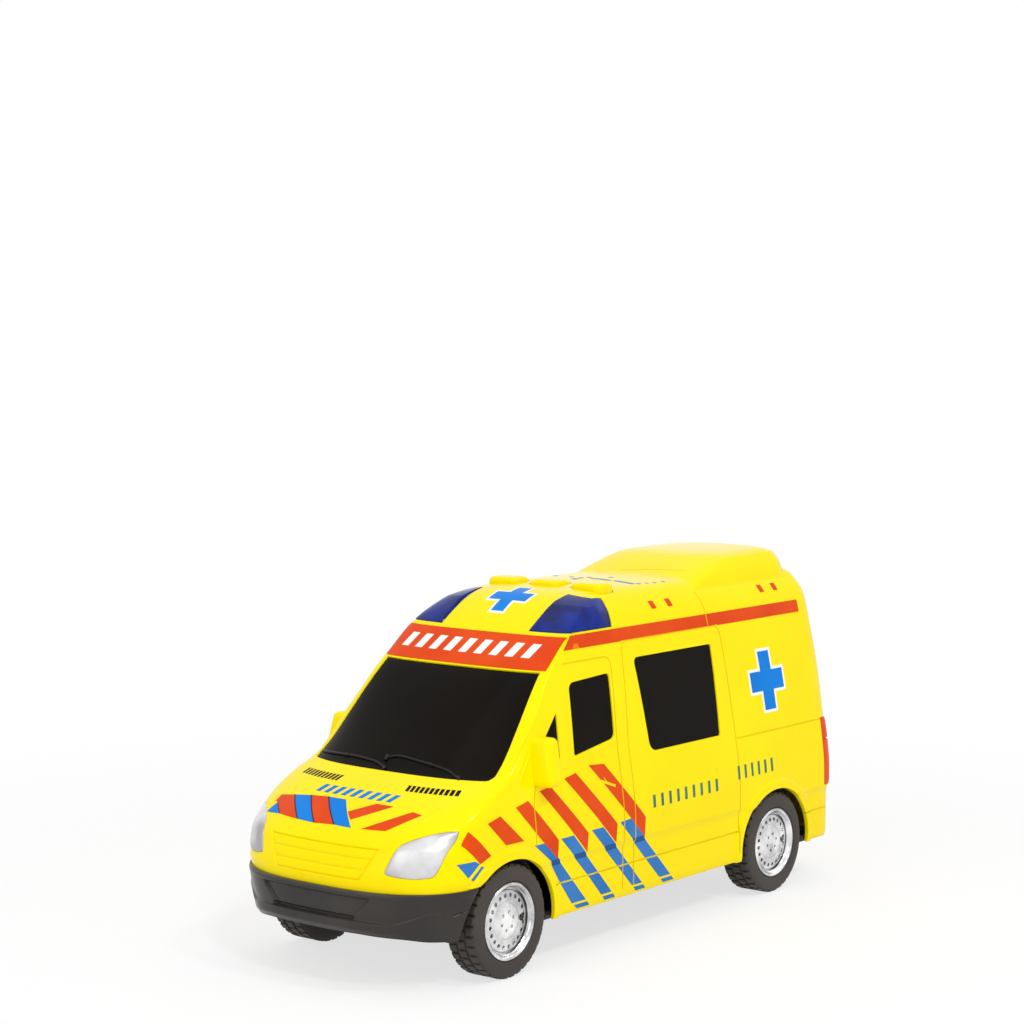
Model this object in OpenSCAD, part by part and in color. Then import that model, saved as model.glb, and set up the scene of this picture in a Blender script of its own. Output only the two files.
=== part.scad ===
// Toy ambulance van: moulded shell on a screwed chassis, push-and-go flywheel drive,
// roof buttons over a sound board, blue roof lamps. X runs forward, Y to the van's left, Z up.

/* [Body] */
// Overall length, bumper to tail
body_len = 210; // [204:0.5:216]
// Width over the flanks
body_w = 78.6; // [77:0.1:80.4]
// Height of the main roof above the ground
roof_h = 102.3; // [100:0.1:105]
// Rise of the rear fairing above the main roof
fairing_rise = 5.7; // [4.8:0.1:6.6]
// Height of the sill above the ground
sill_h = 13.2; // [12.8:0.1:13.6]
// Moulded wall of the shell
wall = 2; // [1.8:0.05:2.2]
// How far the nose stands back from the front of the bumper
nose_setback = 2.4; // [2:0.1:3]
// Rounding of the tail's upright corners
tail_round = 6; // [4:0.1:8]

/* [Wheels] */
// Distance between the axles
wheelbase = 134; // [131:0.5:137]
// Front axle to the front of the bumper
front_overhang = 40; // [39:0.1:41]
// Tyre diameter
tyre_d = 32; // [31.6:0.1:32.4]
// Tyre width
tyre_w = 10.4; // [9.8:0.1:11]
// Width over the outer faces of the tyres
track_w = 77.6; // [76.8:0.1:78.2]
// Rim diameter, the bore of the tyre
rim_d = 22; // [21:0.1:23]
// Steel axle diameter
axle_d = 3; // [2.8:0.05:3.2]
// Tyre to the top of the wheel arch
arch_gap = 1.5; // [1.3:0.1:1.9]
// Blocks round each shoulder of a tyre
tread_blocks = 26; // [16:1:30]

/* [Drive] */
// Gear module
gear_module = 0.7; // [0.68:0.01:0.72]
// Teeth on the rear axle's gear
axle_teeth = 22; // [21:1:23]
// Teeth on the small gears
pinion_teeth = 10; // [10:1:11]
// Teeth on the idler's large gear
idler_teeth = 24; // [23:1:24]
// Width of a gear's teeth
gear_w = 2.6; // [2.2:0.1:2.8]
// Flywheel diameter
flywheel_d = 20; // [18:0.1:20.4]
// Flywheel thickness
flywheel_w = 5.6; // [4:0.1:5.8]
// Diameter of the idler's and flywheel's shafts
shaft_d = 2; // [1.8:0.05:2.1]

/* [Buttons] */
// Button length across the van, as a share of the body's width
button_w_share = 0.14; // [0.128:0.001:0.146]
// Button length along the van
button_l = 8.4; // [7.6:0.1:9]
// Distance between the buttons, as a share of the body's width
button_pitch_share = 0.2036; // [0.195:0.0001:0.21]
// Travel of a button
button_travel = 1.4; // [1.2:0.05:1.6]
// Button height above the roof's crown at rest
button_rise = 1.7; // [1.6:0.05:2.2]

/* [Power and sound] */
// Button cell diameter
cell_d = 11.6; // [11:0.1:12]
// Button cell thickness
cell_t = 5.4; // [4.8:0.1:5.8]
// Number of button cells
cell_count = 3; // [2:1:3]
// Speaker diameter
speaker_d = 28; // [26:0.5:29]
// Speaker depth
speaker_t = 5.2; // [4:0.1:6]

/* [Chassis] */
// Chassis floor thickness
floor_t = 2.2; // [2:0.05:2.5]
// Screw shank diameter
screw_d = 2.3; // [2.1:0.05:2.5]
// Screw length under the head
screw_len = 9; // [7:0.1:11]

/* [Hidden] */

// Finishes
body_yellow = "#fee900";
trim_black = "#2b2a2c";
pane_black = "#191613";
lens_blue = "#1626b8";
lamp_red = "#d8480c";
lamp_silver = "#c9c9cc";
steel = "#b7babd";
board_green = "#2f6b3c";
gear_white = "#e8e4d6";

// Fits, running clearances and the overrun of every cut
fit = 0.15;
running_fit = 0.05;
moving_gap = 0.3;
over = 1;
fine = 96;
coarse = 20;
post_fn = 12;
arch_fn = 48;
quarter = 90;

// Main places
front_x = body_len / 2;
rear_x = -body_len / 2;
front_axle_x = front_x - front_overhang;
rear_axle_x = front_axle_x - wheelbase;
axle_xs = [front_axle_x, rear_axle_x];
axle_z = tyre_d / 2;
axle_r = axle_d / 2;
half_track = track_w / 2;
body_h = roof_h - sill_h;

// Centre line of nose, windscreen and roof front: share of the body's height, then how far back
// as a share of its length
nose_shares = [
    [0, 0.006], [0.06, 0], [0.155, 0], [0.2, 0.001], [0.245, 0.0045], [0.29, 0.0105], [0.328, 0.026],
    [0.364, 0.048], [0.402, 0.078], [0.44, 0.1145], [0.466, 0.14], [0.487, 0.1535],
    [0.755, 0.281], [0.78, 0.2945], [0.873, 0.343], [0.93, 0.377], [0.968, 0.405],
    [0.99, 0.438], [1, 0.5]
];
// Half width against height, as shares of the body's height and of half its width
width_shares = [
    [0, 0.968], [0.02, 0.98], [0.172, 0.983], [0.19, 1], [0.27, 0.998], [0.36, 0.979],
    [0.458, 0.945], [0.65, 0.868], [0.772, 0.808], [0.84, 0.772], [0.878, 0.75], [0.92, 0.703],
    [0.952, 0.64], [0.974, 0.58], [0.988, 0.5], [0.996, 0.31], [1, 0.13]
];
// How deep the nose rounds back to the flanks, as a share of half the width
nose_round_shares = [
    [0, 0.66], [0.25, 0.66], [0.33, 0.7], [0.38, 0.55], [0.44, 0.36], [0.487, 0.34],
    [0.78, 0.125], [0.875, 0.09], [0.93, 0.16], [1, 0.3]
];
// Lean of the tail, as a share of the length
tail_shares = [[0, 0.003], [0.15, 0], [0.5, 0.002], [0.87, 0.008], [0.96, 0.012], [1, 0.03]];
nose_power = 2.8;
tail_power = 7;

// Fairing on the rear roof: share of its height, then its half width as a share of half the body's,
// and its front and rear as shares of the body's length from the tail
fairing_w_shares = [[0, 0.632], [0.82, 0.43], [0.92, 0.37], [0.97, 0.27], [1, 0.1]];
fairing_front_shares = [[0, 0.335], [0.33, 0.285], [0.82, 0.195], [0.92, 0.168], [0.97, 0.14], [1, 0.1]];
fairing_rear_shares = [[0, 0.02], [0.82, 0.027], [0.92, 0.034], [0.97, 0.044], [1, 0.068]];
fairing_base_share = 0.955;
fairing_round = 9;
fairing_power = 3;

// A monotone cubic through a table of pairs
function slope(t, i) = (t[i + 1][1] - t[i][1]) / (t[i + 1][0] - t[i][0]);
function tangent(t, i) =
    i == 0 ? slope(t, 0)
    : i == len(t) - 1 ? slope(t, i - 1)
    : let (a = slope(t, i - 1), b = slope(t, i)) a * b <= 0 ? 0 : 2 * a * b / (a + b);
function span(t, v, i = 0) = i == len(t) - 2 || v < t[i + 1][0] ? i : span(t, v, i + 1);
function curve(t, v) =
    let (u = max(t[0][0], min(t[len(t) - 1][0], v)))
    let (i = span(t, u), h = t[i + 1][0] - t[i][0], s = (u - t[i][0]) / h)
    (1 + 2 * s) * (1 - s) ^ 2 * t[i][1] + s * (1 - s) ^ 2 * h * tangent(t, i)
    + s ^ 2 * (3 - 2 * s) * t[i + 1][1] - s ^ 2 * (1 - s) * h * tangent(t, i + 1);
function mix(a, b, s) = a + (b - a) * s;

// The body's outer skin. A station t runs along half an outline: 0 at the nose, 1 where the flank
// starts, 2 where the tail's corner starts, 3 at the middle of the tail; t < 0 is the right side.
function share_at(z) = (z - sill_h) / body_h;
function height(share) = sill_h + share * body_h;
function along(share) = front_x - share * body_len;
function nose_x(z) = front_x - nose_setback - body_len * curve(nose_shares, share_at(z));
function tail_x(z) = rear_x + body_len * curve(tail_shares, share_at(z));
function half_w(z) = body_w / 2 * curve(width_shares, share_at(z));
function nose_depth(z) = body_w / 2 * curve(nose_round_shares, share_at(z));
function side_of(t) = t < 0 ? -1 : 1;
function arc_in(a, power) = pow(sin(quarter * a), 2 / power);
function arc_back(a) = 1 - cos(quarter * a);
function outline(t, nose, tail, w, d, r, n_power, t_power) =
    let (a = abs(t), side = side_of(t))
    a <= 1 ? [nose - d * arc_back(a), side * w * arc_in(a, n_power)]
    : a <= 2 ? [mix(nose - d, tail + r, a - 1), side * w]
    : [tail + r * arc_back(3 - a), side * w * arc_in(3 - a, t_power)];
function skin_in(t, z, g) =
    let (h = z + g)
    let (p = outline(t, nose_x(h) - g, tail_x(h) + g, half_w(h) - g, nose_depth(h), tail_round,
        nose_power, tail_power))
    [p[0], p[1], z];
function skin(t, z) = skin_in(t, z, 0);
probe = 0.004;
function normal_at(t, z) =
    let (a = skin(t + probe, z) - skin(t - probe, z), b = skin(t, z + probe) - skin(t, z - probe))
    let (n = cross(a, b), out = [abs(t) < 2 ? 1 : -1, side_of(t), 0])
    (n * out < 0 ? -n : n) / norm(n);
function skin_off(t, z, off) = skin(t, z) + off * normal_at(t, z);

// Stations of places on the skin
function arc_turn(y, z, power) = asin(min(1, pow(abs(y) / half_w(z), power / 2))) / quarter;
function nose_t(y, z) = side_of(y) * arc_turn(y, z, nose_power);
function nose_t_at_x(x, z) = acos(max(0, 1 - (nose_x(z) - x) / nose_depth(z))) / quarter;
function tail_t(y, z) = side_of(y) * (3 - arc_turn(y, z, tail_power));
function flank_t(x, z) =
    let (a = nose_x(z) - nose_depth(z), b = tail_x(z) + tail_round) 1 + (a - x) / (a - b);
function tail_off(y, z, off) = skin(tail_t(y, z), z) - [off, 0, 0];
function tail_in(y, z, g) =
    let (a = asin(min(1, pow(abs(y) / (half_w(z + g) - g), tail_power / 2))) / quarter)
    [tail_x(z + g) + g + tail_round * arc_back(a), y, z];

// Stations of every ring
nose_steps = 9;
tail_y_shares = [1, 0.985, 0.95, 0.87, 0.68, 0.35];
half_stations = concat(
    [for (i = [0:nose_steps]) i / nose_steps],
    [for (share = tail_y_shares) 3 - asin(pow(share, tail_power / 2)) / quarter]
);
stations = concat(half_stations, [for (i = [len(half_stations) - 1:-1:1]) -half_stations[i]]);

// A closed solid through rings of equal length
module loft(rings) {
    n = len(rings[0]);
    last = len(rings) - 1;
    points = [for (ring = rings) for (p = ring) p];
    sides = [
        for (j = [0:last - 1]) for (i = [0:n - 1])
            let (k = (i + 1) % n)
            each [
                [j * n + i, (j + 1) * n + i, (j + 1) * n + k],
                [j * n + i, (j + 1) * n + k, j * n + k]
            ]
    ];
    bottom = [for (i = [0:n - 1]) i];
    top = [for (i = [n - 1:-1:0]) last * n + i];
    polyhedron(points, concat(sides, [bottom, top]), convexity = 8);
}

// A plate bent to the skin: place(u, v, off) gives its points, with u and v from 0 to 1
module plate(place, nu, nv, front, back) {
    row = nu + 1;
    count = row * (nv + 1);
    points = [
        for (off = [front, back]) for (j = [0:nv]) for (i = [0:nu]) place(i / nu, j / nv, off)
    ];
    rim = concat(
        [for (i = [0:nu - 1]) i],
        [for (j = [0:nv - 1]) j * row + nu],
        [for (i = [nu:-1:1]) nv * row + i],
        [for (j = [nv:-1:1]) j * row]
    );
    faces = concat(
        [for (j = [0:nv - 1]) for (i = [0:nu - 1])
            let (a = j * row + i) each [[a, a + row + 1, a + 1], [a, a + row, a + row + 1]]],
        [for (j = [0:nv - 1]) for (i = [0:nu - 1])
            let (a = count + j * row + i) each [[a, a + 1, a + row + 1], [a, a + row + 1, a + row]]],
        [for (i = [0:len(rim) - 1])
            let (a = rim[i], b = rim[(i + 1) % len(rim)])
            each [[a, b, count + b], [a, count + b, count + a]]]
    );
    polyhedron(points, faces, convexity = 6);
}

module both_sides() {
    children();
    mirror([0, 1, 0]) children();
}
module along_y(from, to) {
    translate([0, from, 0]) rotate([-quarter, 0, 0]) linear_extrude(to - from) children();
}

// Windscreen, its edges as shares of the height and of half the width there
screen_low_share = 0.468;
screen_high_share = 0.77;
screen_w_low_share = 0.885;
screen_w_high_share = 0.917;
screen_corner_share = 0.16;
screen_corner_rise = 3;
slant_wall_share = 2.1;
slant_wall = wall * slant_wall_share;
pane_recess = 0.35;
pane_flange = 1.3;
flange_t = 1.1;
screen_cols = 14;
screen_rows = 3;
function screen_at(u, v, off, grow) =
    let (low = height(screen_low_share) - grow, high = height(screen_high_share) + grow)
    let (s = 2 * u - 1, edge = max(0, (abs(s) - 1 + screen_corner_share) / screen_corner_share))
    let (rise = screen_corner_rise * (1 - sqrt(max(0, 1 - edge ^ 2))))
    let (z = mix(low + rise, high, v))
    let (w = mix(screen_w_low_share, screen_w_high_share, (z - low) / (high - low)) * half_w(z) + grow)
    skin_off(nose_t(s * w, z), z, off);
module screen_plate(grow, front, back) {
    plate(function (u, v, off) screen_at(u, v, off, grow), screen_cols, screen_rows, front, back);
}
module windscreen() {
    color(pane_black) union() {
        screen_plate(-fit, -pane_recess, -slant_wall - flange_t / 2);
        screen_plate(pane_flange, -slant_wall, -slant_wall - flange_t);
    }
}

// Side windows: corners as shares of the length and of the height
door_window_shares = [[0.352, 0.728], [0.444, 0.738], [0.434, 0.535], [0.344, 0.511]];
side_window_shares = [[0.508, 0.772], [0.702, 0.772], [0.692, 0.459], [0.516, 0.459]];
quarter_light_shares = [[0.316, 0.646], [0.31, 0.5], [0.256, 0.512]];
glazing_back_shares = [[0.352, 0.745], [0.712, 0.79], [0.702, 0.44], [0.27, 0.485]];
door_window_r = 1.5;
side_window_r = 1.6;
quarter_light_r = 0.5;
function sum(list, i = 0) = i == len(list) - 1 ? list[i] : list[i] + sum(list, i + 1);
module side_outline(corner_shares, r, grow) {
    points = [for (c = corner_shares) [along(c[0]), height(c[1])]];
    middle = sum(points) / len(points);
    rotate([quarter, 0, 0]) translate([0, 0, -body_w]) hull() for (p = points) {
        pull = (middle - p) * r / norm(middle - p);
        translate([p[0] + pull[0], p[1] + pull[1], 0]) cylinder(r = r + grow, h = body_w, $fn = coarse);
    }
}
module side_openings(grow) {
    side_outline(door_window_shares, door_window_r, grow);
    side_outline(side_window_shares, side_window_r, grow);
    side_outline(quarter_light_shares, quarter_light_r, grow);
}
// A length of flank between two depths under the skin
flank_steps = 6;
glazing_low_share = 0.42;
glazing_high_share = 0.82;
glazing_front_share = 0.25;
glazing_rear_share = 0.73;
module flank_strip(outer_depth, inner_depth) {
    low = height(glazing_low_share);
    high = height(glazing_high_share);
    levels = [for (i = [0:flank_steps]) mix(low, high, i / flank_steps)];
    profile = concat(
        [for (z = levels) [skin_in(2, z, outer_depth)[1], z]],
        [for (i = [flank_steps:-1:0]) [skin_in(2, levels[i], inner_depth)[1], levels[i]]]
    );
    translate([along(glazing_rear_share), 0, 0]) rotate([quarter, 0, quarter])
        linear_extrude(along(glazing_front_share) - along(glazing_rear_share)) polygon(profile);
}
module glazing() {
    color(pane_black) union() {
        intersection() {
            flank_strip(pane_recess, wall + moving_gap + flange_t / 2);
            side_openings(-fit);
        }
        intersection() {
            flank_strip(wall + moving_gap, wall + moving_gap + flange_t);
            side_outline(glazing_back_shares, side_window_r, 0);
        }
    }
}
module glazing_left() {
    glazing();
}
module glazing_right() {
    mirror([0, 1, 0]) glazing();
}

// Rear door windows, as shares of half the width and of the height
rear_pane_in_share = 0.09;
rear_pane_out_share = 0.62;
rear_pane_low_share = 0.5;
rear_pane_high_share = 0.77;
rear_pane_r = 1.6;
rear_cols = 6;
rear_steps = 4;
module rear_outline(grow) {
    y_in = rear_pane_in_share * body_w / 2;
    y_out = rear_pane_out_share * body_w / 2;
    hull() for (y = [y_in, y_out]) for (share = [rear_pane_low_share, rear_pane_high_share]) {
        shift = y == y_in ? rear_pane_r : -rear_pane_r;
        lift = share == rear_pane_low_share ? rear_pane_r : -rear_pane_r;
        translate([rear_x - over, y + shift, height(share) + lift]) rotate([0, quarter, 0])
            cylinder(r = rear_pane_r + grow, h = tail_round, $fn = coarse);
    }
}
module rear_sheet(margin, front, back) {
    y = rear_pane_out_share * body_w / 2 + margin;
    low = height(rear_pane_low_share) - margin;
    high = height(rear_pane_high_share) + margin;
    plate(function (u, v, off) tail_in(y * (1 - 2 * u), mix(low, high, v), -off),
        rear_cols, rear_steps, front, back);
}
module rear_glazing() {
    color(pane_black) union() {
        intersection() {
            rear_sheet(pane_flange, -pane_recess, -wall - moving_gap - flange_t / 2);
            both_sides() rear_outline(-fit);
        }
        rear_sheet(pane_flange, -wall - moving_gap, -wall - moving_gap - flange_t);
    }
}

// Lamps: corners as shares of the height, and of half the width there
lamp_seat = 1.2;
lamp_rise = 0.3;
headlamp_in_low_share = [0.573, 0.23];
headlamp_in_high_share = [0.652, 0.296];
headlamp_tip_share = [0.912, 0.341];
headlamp_out_low_share = [0.868, 0.218];
headlamp_bulge = 2.2;
headlamp_bulge_share = 0.4;
headlamp_cols = 7;
headlamp_rows = 3;
function headlamp_at(u, v, off, grow) =
    let (low = mix(headlamp_in_low_share, headlamp_out_low_share, u))
    let (high = mix(headlamp_in_high_share, headlamp_tip_share, u))
    let (s = mix(low, high, v))
    let (bow = headlamp_bulge * 4 * u * (1 - u) * (v - headlamp_bulge_share))
    let (z = height(s[1]) + bow + grow * (2 * v - 1))
    skin_off(nose_t(s[0] * half_w(z) + grow * (2 * u - 1), z), z, off);
module headlamp_plate(grow, front, back) {
    plate(function (u, v, off) headlamp_at(u, v, off, grow), headlamp_cols, headlamp_rows, front, back);
}
module headlamp() {
    color(lamp_silver) headlamp_plate(0, lamp_rise, -lamp_seat + fit);
}
module headlamp_left() {
    headlamp();
}
module headlamp_right() {
    mirror([0, 1, 0]) headlamp();
}

tail_lamp_low_share = 0.19;
tail_lamp_high_share = 0.445;
tail_lamp_front_t = 2.3;
tail_lamp_rear_t = 2.72;
tail_lamp_cols = 4;
tail_lamp_rows = 3;
tail_lamp_grow_share = 0.02;
module tail_lamp_plate(grow_share, grow, front, back) {
    low = height(tail_lamp_low_share) - grow;
    high = height(tail_lamp_high_share) + grow;
    from = tail_lamp_front_t - grow_share;
    to = tail_lamp_rear_t + grow_share;
    plate(function (u, v, off) skin_off(mix(from, to, u), mix(low, high, v), off),
        tail_lamp_cols, tail_lamp_rows, front, back);
}
module tail_lamp() {
    color(lamp_red) tail_lamp_plate(0, 0, lamp_rise, -lamp_seat + fit);
}
module tail_lamp_left() {
    tail_lamp();
}
module tail_lamp_right() {
    mirror([0, 1, 0]) tail_lamp();
}

// Roof lamp lenses round the front corners of the roof
lens_in_y_share = 0.42;
lens_low_share = 0.882;
lens_in_high_share = 0.984;
lens_rear_high_share = 0.971;
lens_rear_low_along_share = 0.473;
lens_rear_high_along_share = 0.486;
lens_rise = 0.5;
lens_seat_share = 0.6;
lens_cols = 8;
lens_rows = 4;
function lens_at(u, v, off, grow) =
    let (high = mix(height(lens_in_high_share), height(lens_rear_high_share), u) + grow / 2)
    let (z = mix(height(lens_low_share) - grow, high, v))
    let (t_in = nose_t(lens_in_y_share * body_w / 2 - grow, z))
    let (x_rear = along(mix(lens_rear_low_along_share, lens_rear_high_along_share, v)) - grow)
    skin_off(mix(t_in, max(1, flank_t(x_rear, z)), u), z, off);
module lens_plate(grow, front, back) {
    plate(function (u, v, off) lens_at(u, v, off, grow), lens_cols, lens_rows, front, back);
}
module beacon_lens() {
    color(lens_blue) lens_plate(-fit, lens_rise, -wall * lens_seat_share);
}
module beacon_lens_left() {
    beacon_lens();
}
module beacon_lens_right() {
    mirror([0, 1, 0]) beacon_lens();
}

// Wing mirrors
mirror_along_share = 0.262;
mirror_low_share = 0.432;
mirror_high_share = 0.598;
mirror_reach = 6.4;
mirror_deep = 6;
mirror_lean = 1.2;
mirror_r = 1.5;
mirror_bed = 0.2;
ball_fn = 14;
module wing_mirror() {
    low = height(mirror_low_share) + mirror_r;
    high = height(mirror_high_share) - mirror_r;
    x = along(mirror_along_share);
    color(body_yellow) difference() {
        hull() for (z = [low, high]) for (k = [-1, 1]) {
            lean = z == low ? 0 : -mirror_lean;
            edge_x = x + lean + k * (mirror_deep / 2 - mirror_r);
            for (y = [half_w(low) + mirror_reach - mirror_r, half_w(z) - mirror_r])
                translate([edge_x, y, z]) sphere(mirror_r, $fn = ball_fn);
        }
        mirror_bed_cut();
    }
}
// The mirror's foot lies on the flank
module mirror_bed_cut() {
    levels = [for (i = [0:flank_steps]) mix(sill_h, roof_h, i / flank_steps)];
    profile = concat([for (z = levels) [half_w(z) + mirror_bed, z]], [[0, roof_h], [0, sill_h]]);
    translate([rear_x, 0, 0]) rotate([quarter, 0, quarter]) linear_extrude(body_len) polygon(profile);
}
module mirror_left() {
    wing_mirror();
}
module mirror_right() {
    mirror([0, 1, 0]) wing_mirror();
}

// Wheel arches, a little longer than high
arch_r = axle_z + arch_gap;
arch_stretch_share = 1.1;
arch_in_y = half_track - tyre_w;
lip_w = 2.6;
lip_rise = 0.7;
lip_steps = 12;
lip_start = -4;
module arch_cut(x) {
    translate([x, arch_in_y, axle_z]) scale([arch_stretch_share, 1, 1]) rotate([-quarter, 0, 0])
        cylinder(r = arch_r, h = body_w / 2, $fn = arch_fn);
}
function arch_place(x, a, r) = [x + r * arch_stretch_share * cos(a), axle_z + r * sin(a)];
module arch_lip(x) {
    plate(function (u, v, off)
        let (a = mix(lip_start, 2 * quarter - lip_start, u), r = mix(arch_r - over, arch_r + lip_w, v))
        let (p = arch_place(x, a, r))
        let (z = max(p[1], sill_h))
        let (t = p[0] > nose_x(z) - nose_depth(z) ? nose_t_at_x(p[0], z) : flank_t(p[0], z))
        skin_off(t, z, off * (v == 1 ? lip_edge_share : 1)), lip_steps, 1, lip_rise, -wall / 2);
}
lip_edge_share = 0.3;

// Grille, bonnet vents and panel lines, pressed into the skin
grille_low_share = 0.2;
grille_high_share = 0.293;
grille_low_w_share = 0.4;
grille_high_w_share = 0.53;
grille_rows = 3;
grille_rib_share = 0.22;
grille_depth = 0.6;
grille_cols = 8;
module grille_cuts() {
    for (i = [0:grille_rows - 1]) {
        from_share = i / grille_rows;
        to_share = (i + 1 - grille_rib_share) / grille_rows;
        plate(function (u, v, off)
            let (s = mix(from_share, to_share, v))
            let (z = height(mix(grille_low_share, grille_high_share, s)))
            let (w = mix(grille_low_w_share, grille_high_w_share, s) * half_w(z))
            skin_off(nose_t((2 * u - 1) * w, z), z, off), grille_cols, 1, over, -grille_depth);
    }
}
vent_slits = 9;
vent_in_share = 0.33;
vent_out_share = 0.76;
vent_low_share = 0.433;
vent_high_share = 0.445;
vent_fill_share = 0.55;
vent_lean_share = -0.4;
vent_depth = 1;
module vent_cuts() {
    pitch = (vent_out_share - vent_in_share) / vent_slits;
    for (i = [0:vent_slits - 1])
        plate(function (u, v, off)
            let (z = height(mix(vent_low_share, vent_high_share, v)))
            let (s = vent_in_share + pitch * (i + u * vent_fill_share + v * vent_lean_share))
            skin_off(nose_t(s * half_w(z), z), z, off), 1, 1, over, -vent_depth);
}
// Panel lines on a flank: ends as shares of the length and of the height
line_w = 0.5;
line_depth = 0.4;
line_steps = 3;
line_shares = [
    [[0.243, 0.39], [0.243, 0.25]],
    [[0.243, 0.39], [0.262, 0.49]],
    [[0.44, 0.03], [0.44, 0.5]],
    [[0.44, 0.5], [0.455, 0.79]],
    [[0.345, 0.79], [0.455, 0.79]],
    [[0.466, 0.03], [0.466, 0.5]],
    [[0.466, 0.5], [0.486, 0.83]],
    [[0.486, 0.83], [0.73, 0.83]],
    [[0.73, 0.03], [0.73, 0.83]],
    [[0.73, 0.436], [0.965, 0.436]],
    [[0.704, 0.84], [0.704, 0.95]],
    [[0.285, 0.108], [0.73, 0.108]]
];
module flank_lines() {
    for (ends = line_shares) {
        run = [(ends[0][0] - ends[1][0]) * body_len, (ends[1][1] - ends[0][1]) * body_h];
        side_step = [-run[1], run[0]] * line_w / 2 / norm(run);
        plate(function (u, v, off)
            let (s = mix(ends[0], ends[1], v))
            let (z = height(s[1]) + (2 * u - 1) * side_step[1])
            let (x = along(s[0]) + (2 * u - 1) * side_step[0])
            skin_off(x > nose_x(z) - nose_depth(z) ? nose_t_at_x(x, z) : flank_t(x, z), z, off),
            1, abs(run[0]) > abs(run[1]) ? 1 : line_steps, over, -line_depth);
    }
}
rear_door_low_share = 0.12;
rear_door_high_share = 0.87;
module rear_lines() {
    low = height(rear_door_low_share);
    high = height(rear_door_high_share);
    plate(function (u, v, off) tail_off((1 - 2 * u) * line_w / 2, mix(low, high, v), off),
        1, line_steps, over, -line_depth);
    y = rear_pane_out_share * body_w / 2;
    for (z = [low, high])
        plate(function (u, v, off) tail_off((1 - 2 * u) * y, z + (2 * v - 1) * line_w / 2, off),
            2, 1, over, -line_depth);
}

// Fairing on the rear roof
fairing_base = height(fairing_base_share);
fairing_h = roof_h + fairing_rise;
function fairing_ring(z, g) =
    let (s = (z + g - fairing_base) / (fairing_h - fairing_base))
    let (w = body_w / 2 * curve(fairing_w_shares, s) - g)
    let (nose = rear_x + body_len * curve(fairing_front_shares, s) - g)
    let (tail = rear_x + body_len * curve(fairing_rear_shares, s) + g)
    let (r = fairing_round, power = fairing_power)
    [for (t = stations) let (p = outline(t, nose, tail, w, r, r, power, power)) [p[0], p[1], z]];
module fairing(g) {
    levels = [for (row = fairing_w_shares) mix(fairing_base, fairing_h - g, row[0])];
    loft([for (z = levels) fairing_ring(z, g)]);
}
// The van's whole form, drawn in by a depth
module van_form(depth) {
    low = depth > 0 ? sill_h - over : sill_h;
    levels = [for (row = nose_shares) mix(low, roof_h - depth, row[0])];
    loft([for (z = levels) [for (t = stations) skin_in(t, z, depth)]]);
    fairing(depth);
}

// Screw posts under bonnet and roof, board posts and button guides under the roof
post_r = 3;
front_post_inset = 20;
rear_post_inset = 12;
post_y = 18;
pilot_fit = 0.1;
screw_r = screw_d / 2;
post_xs = [front_x - front_post_inset, rear_x + rear_post_inset];
post_tops = [height(screen_low_share), roof_h];
floor_drop = 0.6;
floor_z = sill_h - floor_drop;
floor_top = floor_z + floor_t;
module screw_posts() {
    for (i = [0, 1]) translate([post_xs[i], post_y, floor_top]) difference() {
        cylinder(r = post_r, h = post_tops[i] - floor_top, $fn = post_fn);
        translate([0, 0, -over]) cylinder(r = screw_r + pilot_fit, h = screw_len + over, $fn = post_fn);
    }
}

// Buttons, their guides, the board under them and its rubber domes
button_x_share = 0.51;
button_x = along(button_x_share);
button_r = 2;
guide_drop = 5.2;
guide_wall = 1.1;
guide_low = roof_h - guide_drop;
button_flange = 1.4;
button_flange_t = 1.2;
stem_r = 2;
board_drop = 14.7;
board_t = 1.6;
board_top = roof_h - board_drop;
board_l = 32;
board_w = 46;
board_shift = 1;
board_x = button_x + board_shift;
dome_rest = 1;
dome_h = button_travel + dome_rest;
dome_r = 3.2;
dome_top_r = 2.2;
touch = 0.02;
button_w = body_w * button_w_share;
button_pitch = body_w * button_pitch_share;
button_ys = [button_pitch, 0, -button_pitch];
board_post_r = 2.2;
board_post_x = 13;
board_post_y = 8;
board_screw_r = 0.9;
board_screw_len = 5;
board_head_r = 1.8;
board_head_t = 1.2;
board_post_places = [for (x = [-1, 1]) for (y = [-1, 1]) [board_x + x * board_post_x, y * board_post_y]];
module button_block(y, grow, low, high) {
    hull() for (i = [-1, 1]) for (j = [-1, 1])
        translate([button_x + i * (button_l / 2 - button_r), y + j * (button_w / 2 - button_r), low])
            cylinder(r = button_r + grow, h = high - low, $fn = coarse);
}
module button_guides() {
    for (y = button_ys) button_block(y, moving_gap + guide_wall, guide_low, roof_h - wall / 2);
}
module board_posts() {
    for (p = board_post_places) translate([p[0], p[1], board_top]) difference() {
        cylinder(r = board_post_r, h = roof_h - wall / 2 - board_top, $fn = post_fn);
        translate([0, 0, -over])
            cylinder(r = board_screw_r + pilot_fit, h = board_screw_len + over, $fn = post_fn);
    }
}

module body_shell() {
    color(body_yellow) difference() {
        union() {
            difference() {
                union() {
                    van_form(0);
                    both_sides() for (x = axle_xs) arch_lip(x);
                }
                van_form(wall);
            }
            intersection() {
                van_form(wall / 2);
                union() {
                    both_sides() screw_posts();
                    button_guides();
                    board_posts();
                }
            }
        }
        screen_plate(0, over, -slant_wall - over);
        both_sides() {
            for (x = axle_xs) arch_cut(x);
            side_openings(0);
            rear_outline(0);
            headlamp_plate(fit, over, -lamp_seat);
            tail_lamp_plate(tail_lamp_grow_share, fit, over, -lamp_seat);
            lens_plate(moving_gap, over, -slant_wall - over);
            vent_cuts();
            flank_lines();
        }
        grille_cuts();
        rear_lines();
        for (y = button_ys) button_block(y, moving_gap, guide_low - over, roof_h + over);
    }
}

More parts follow.
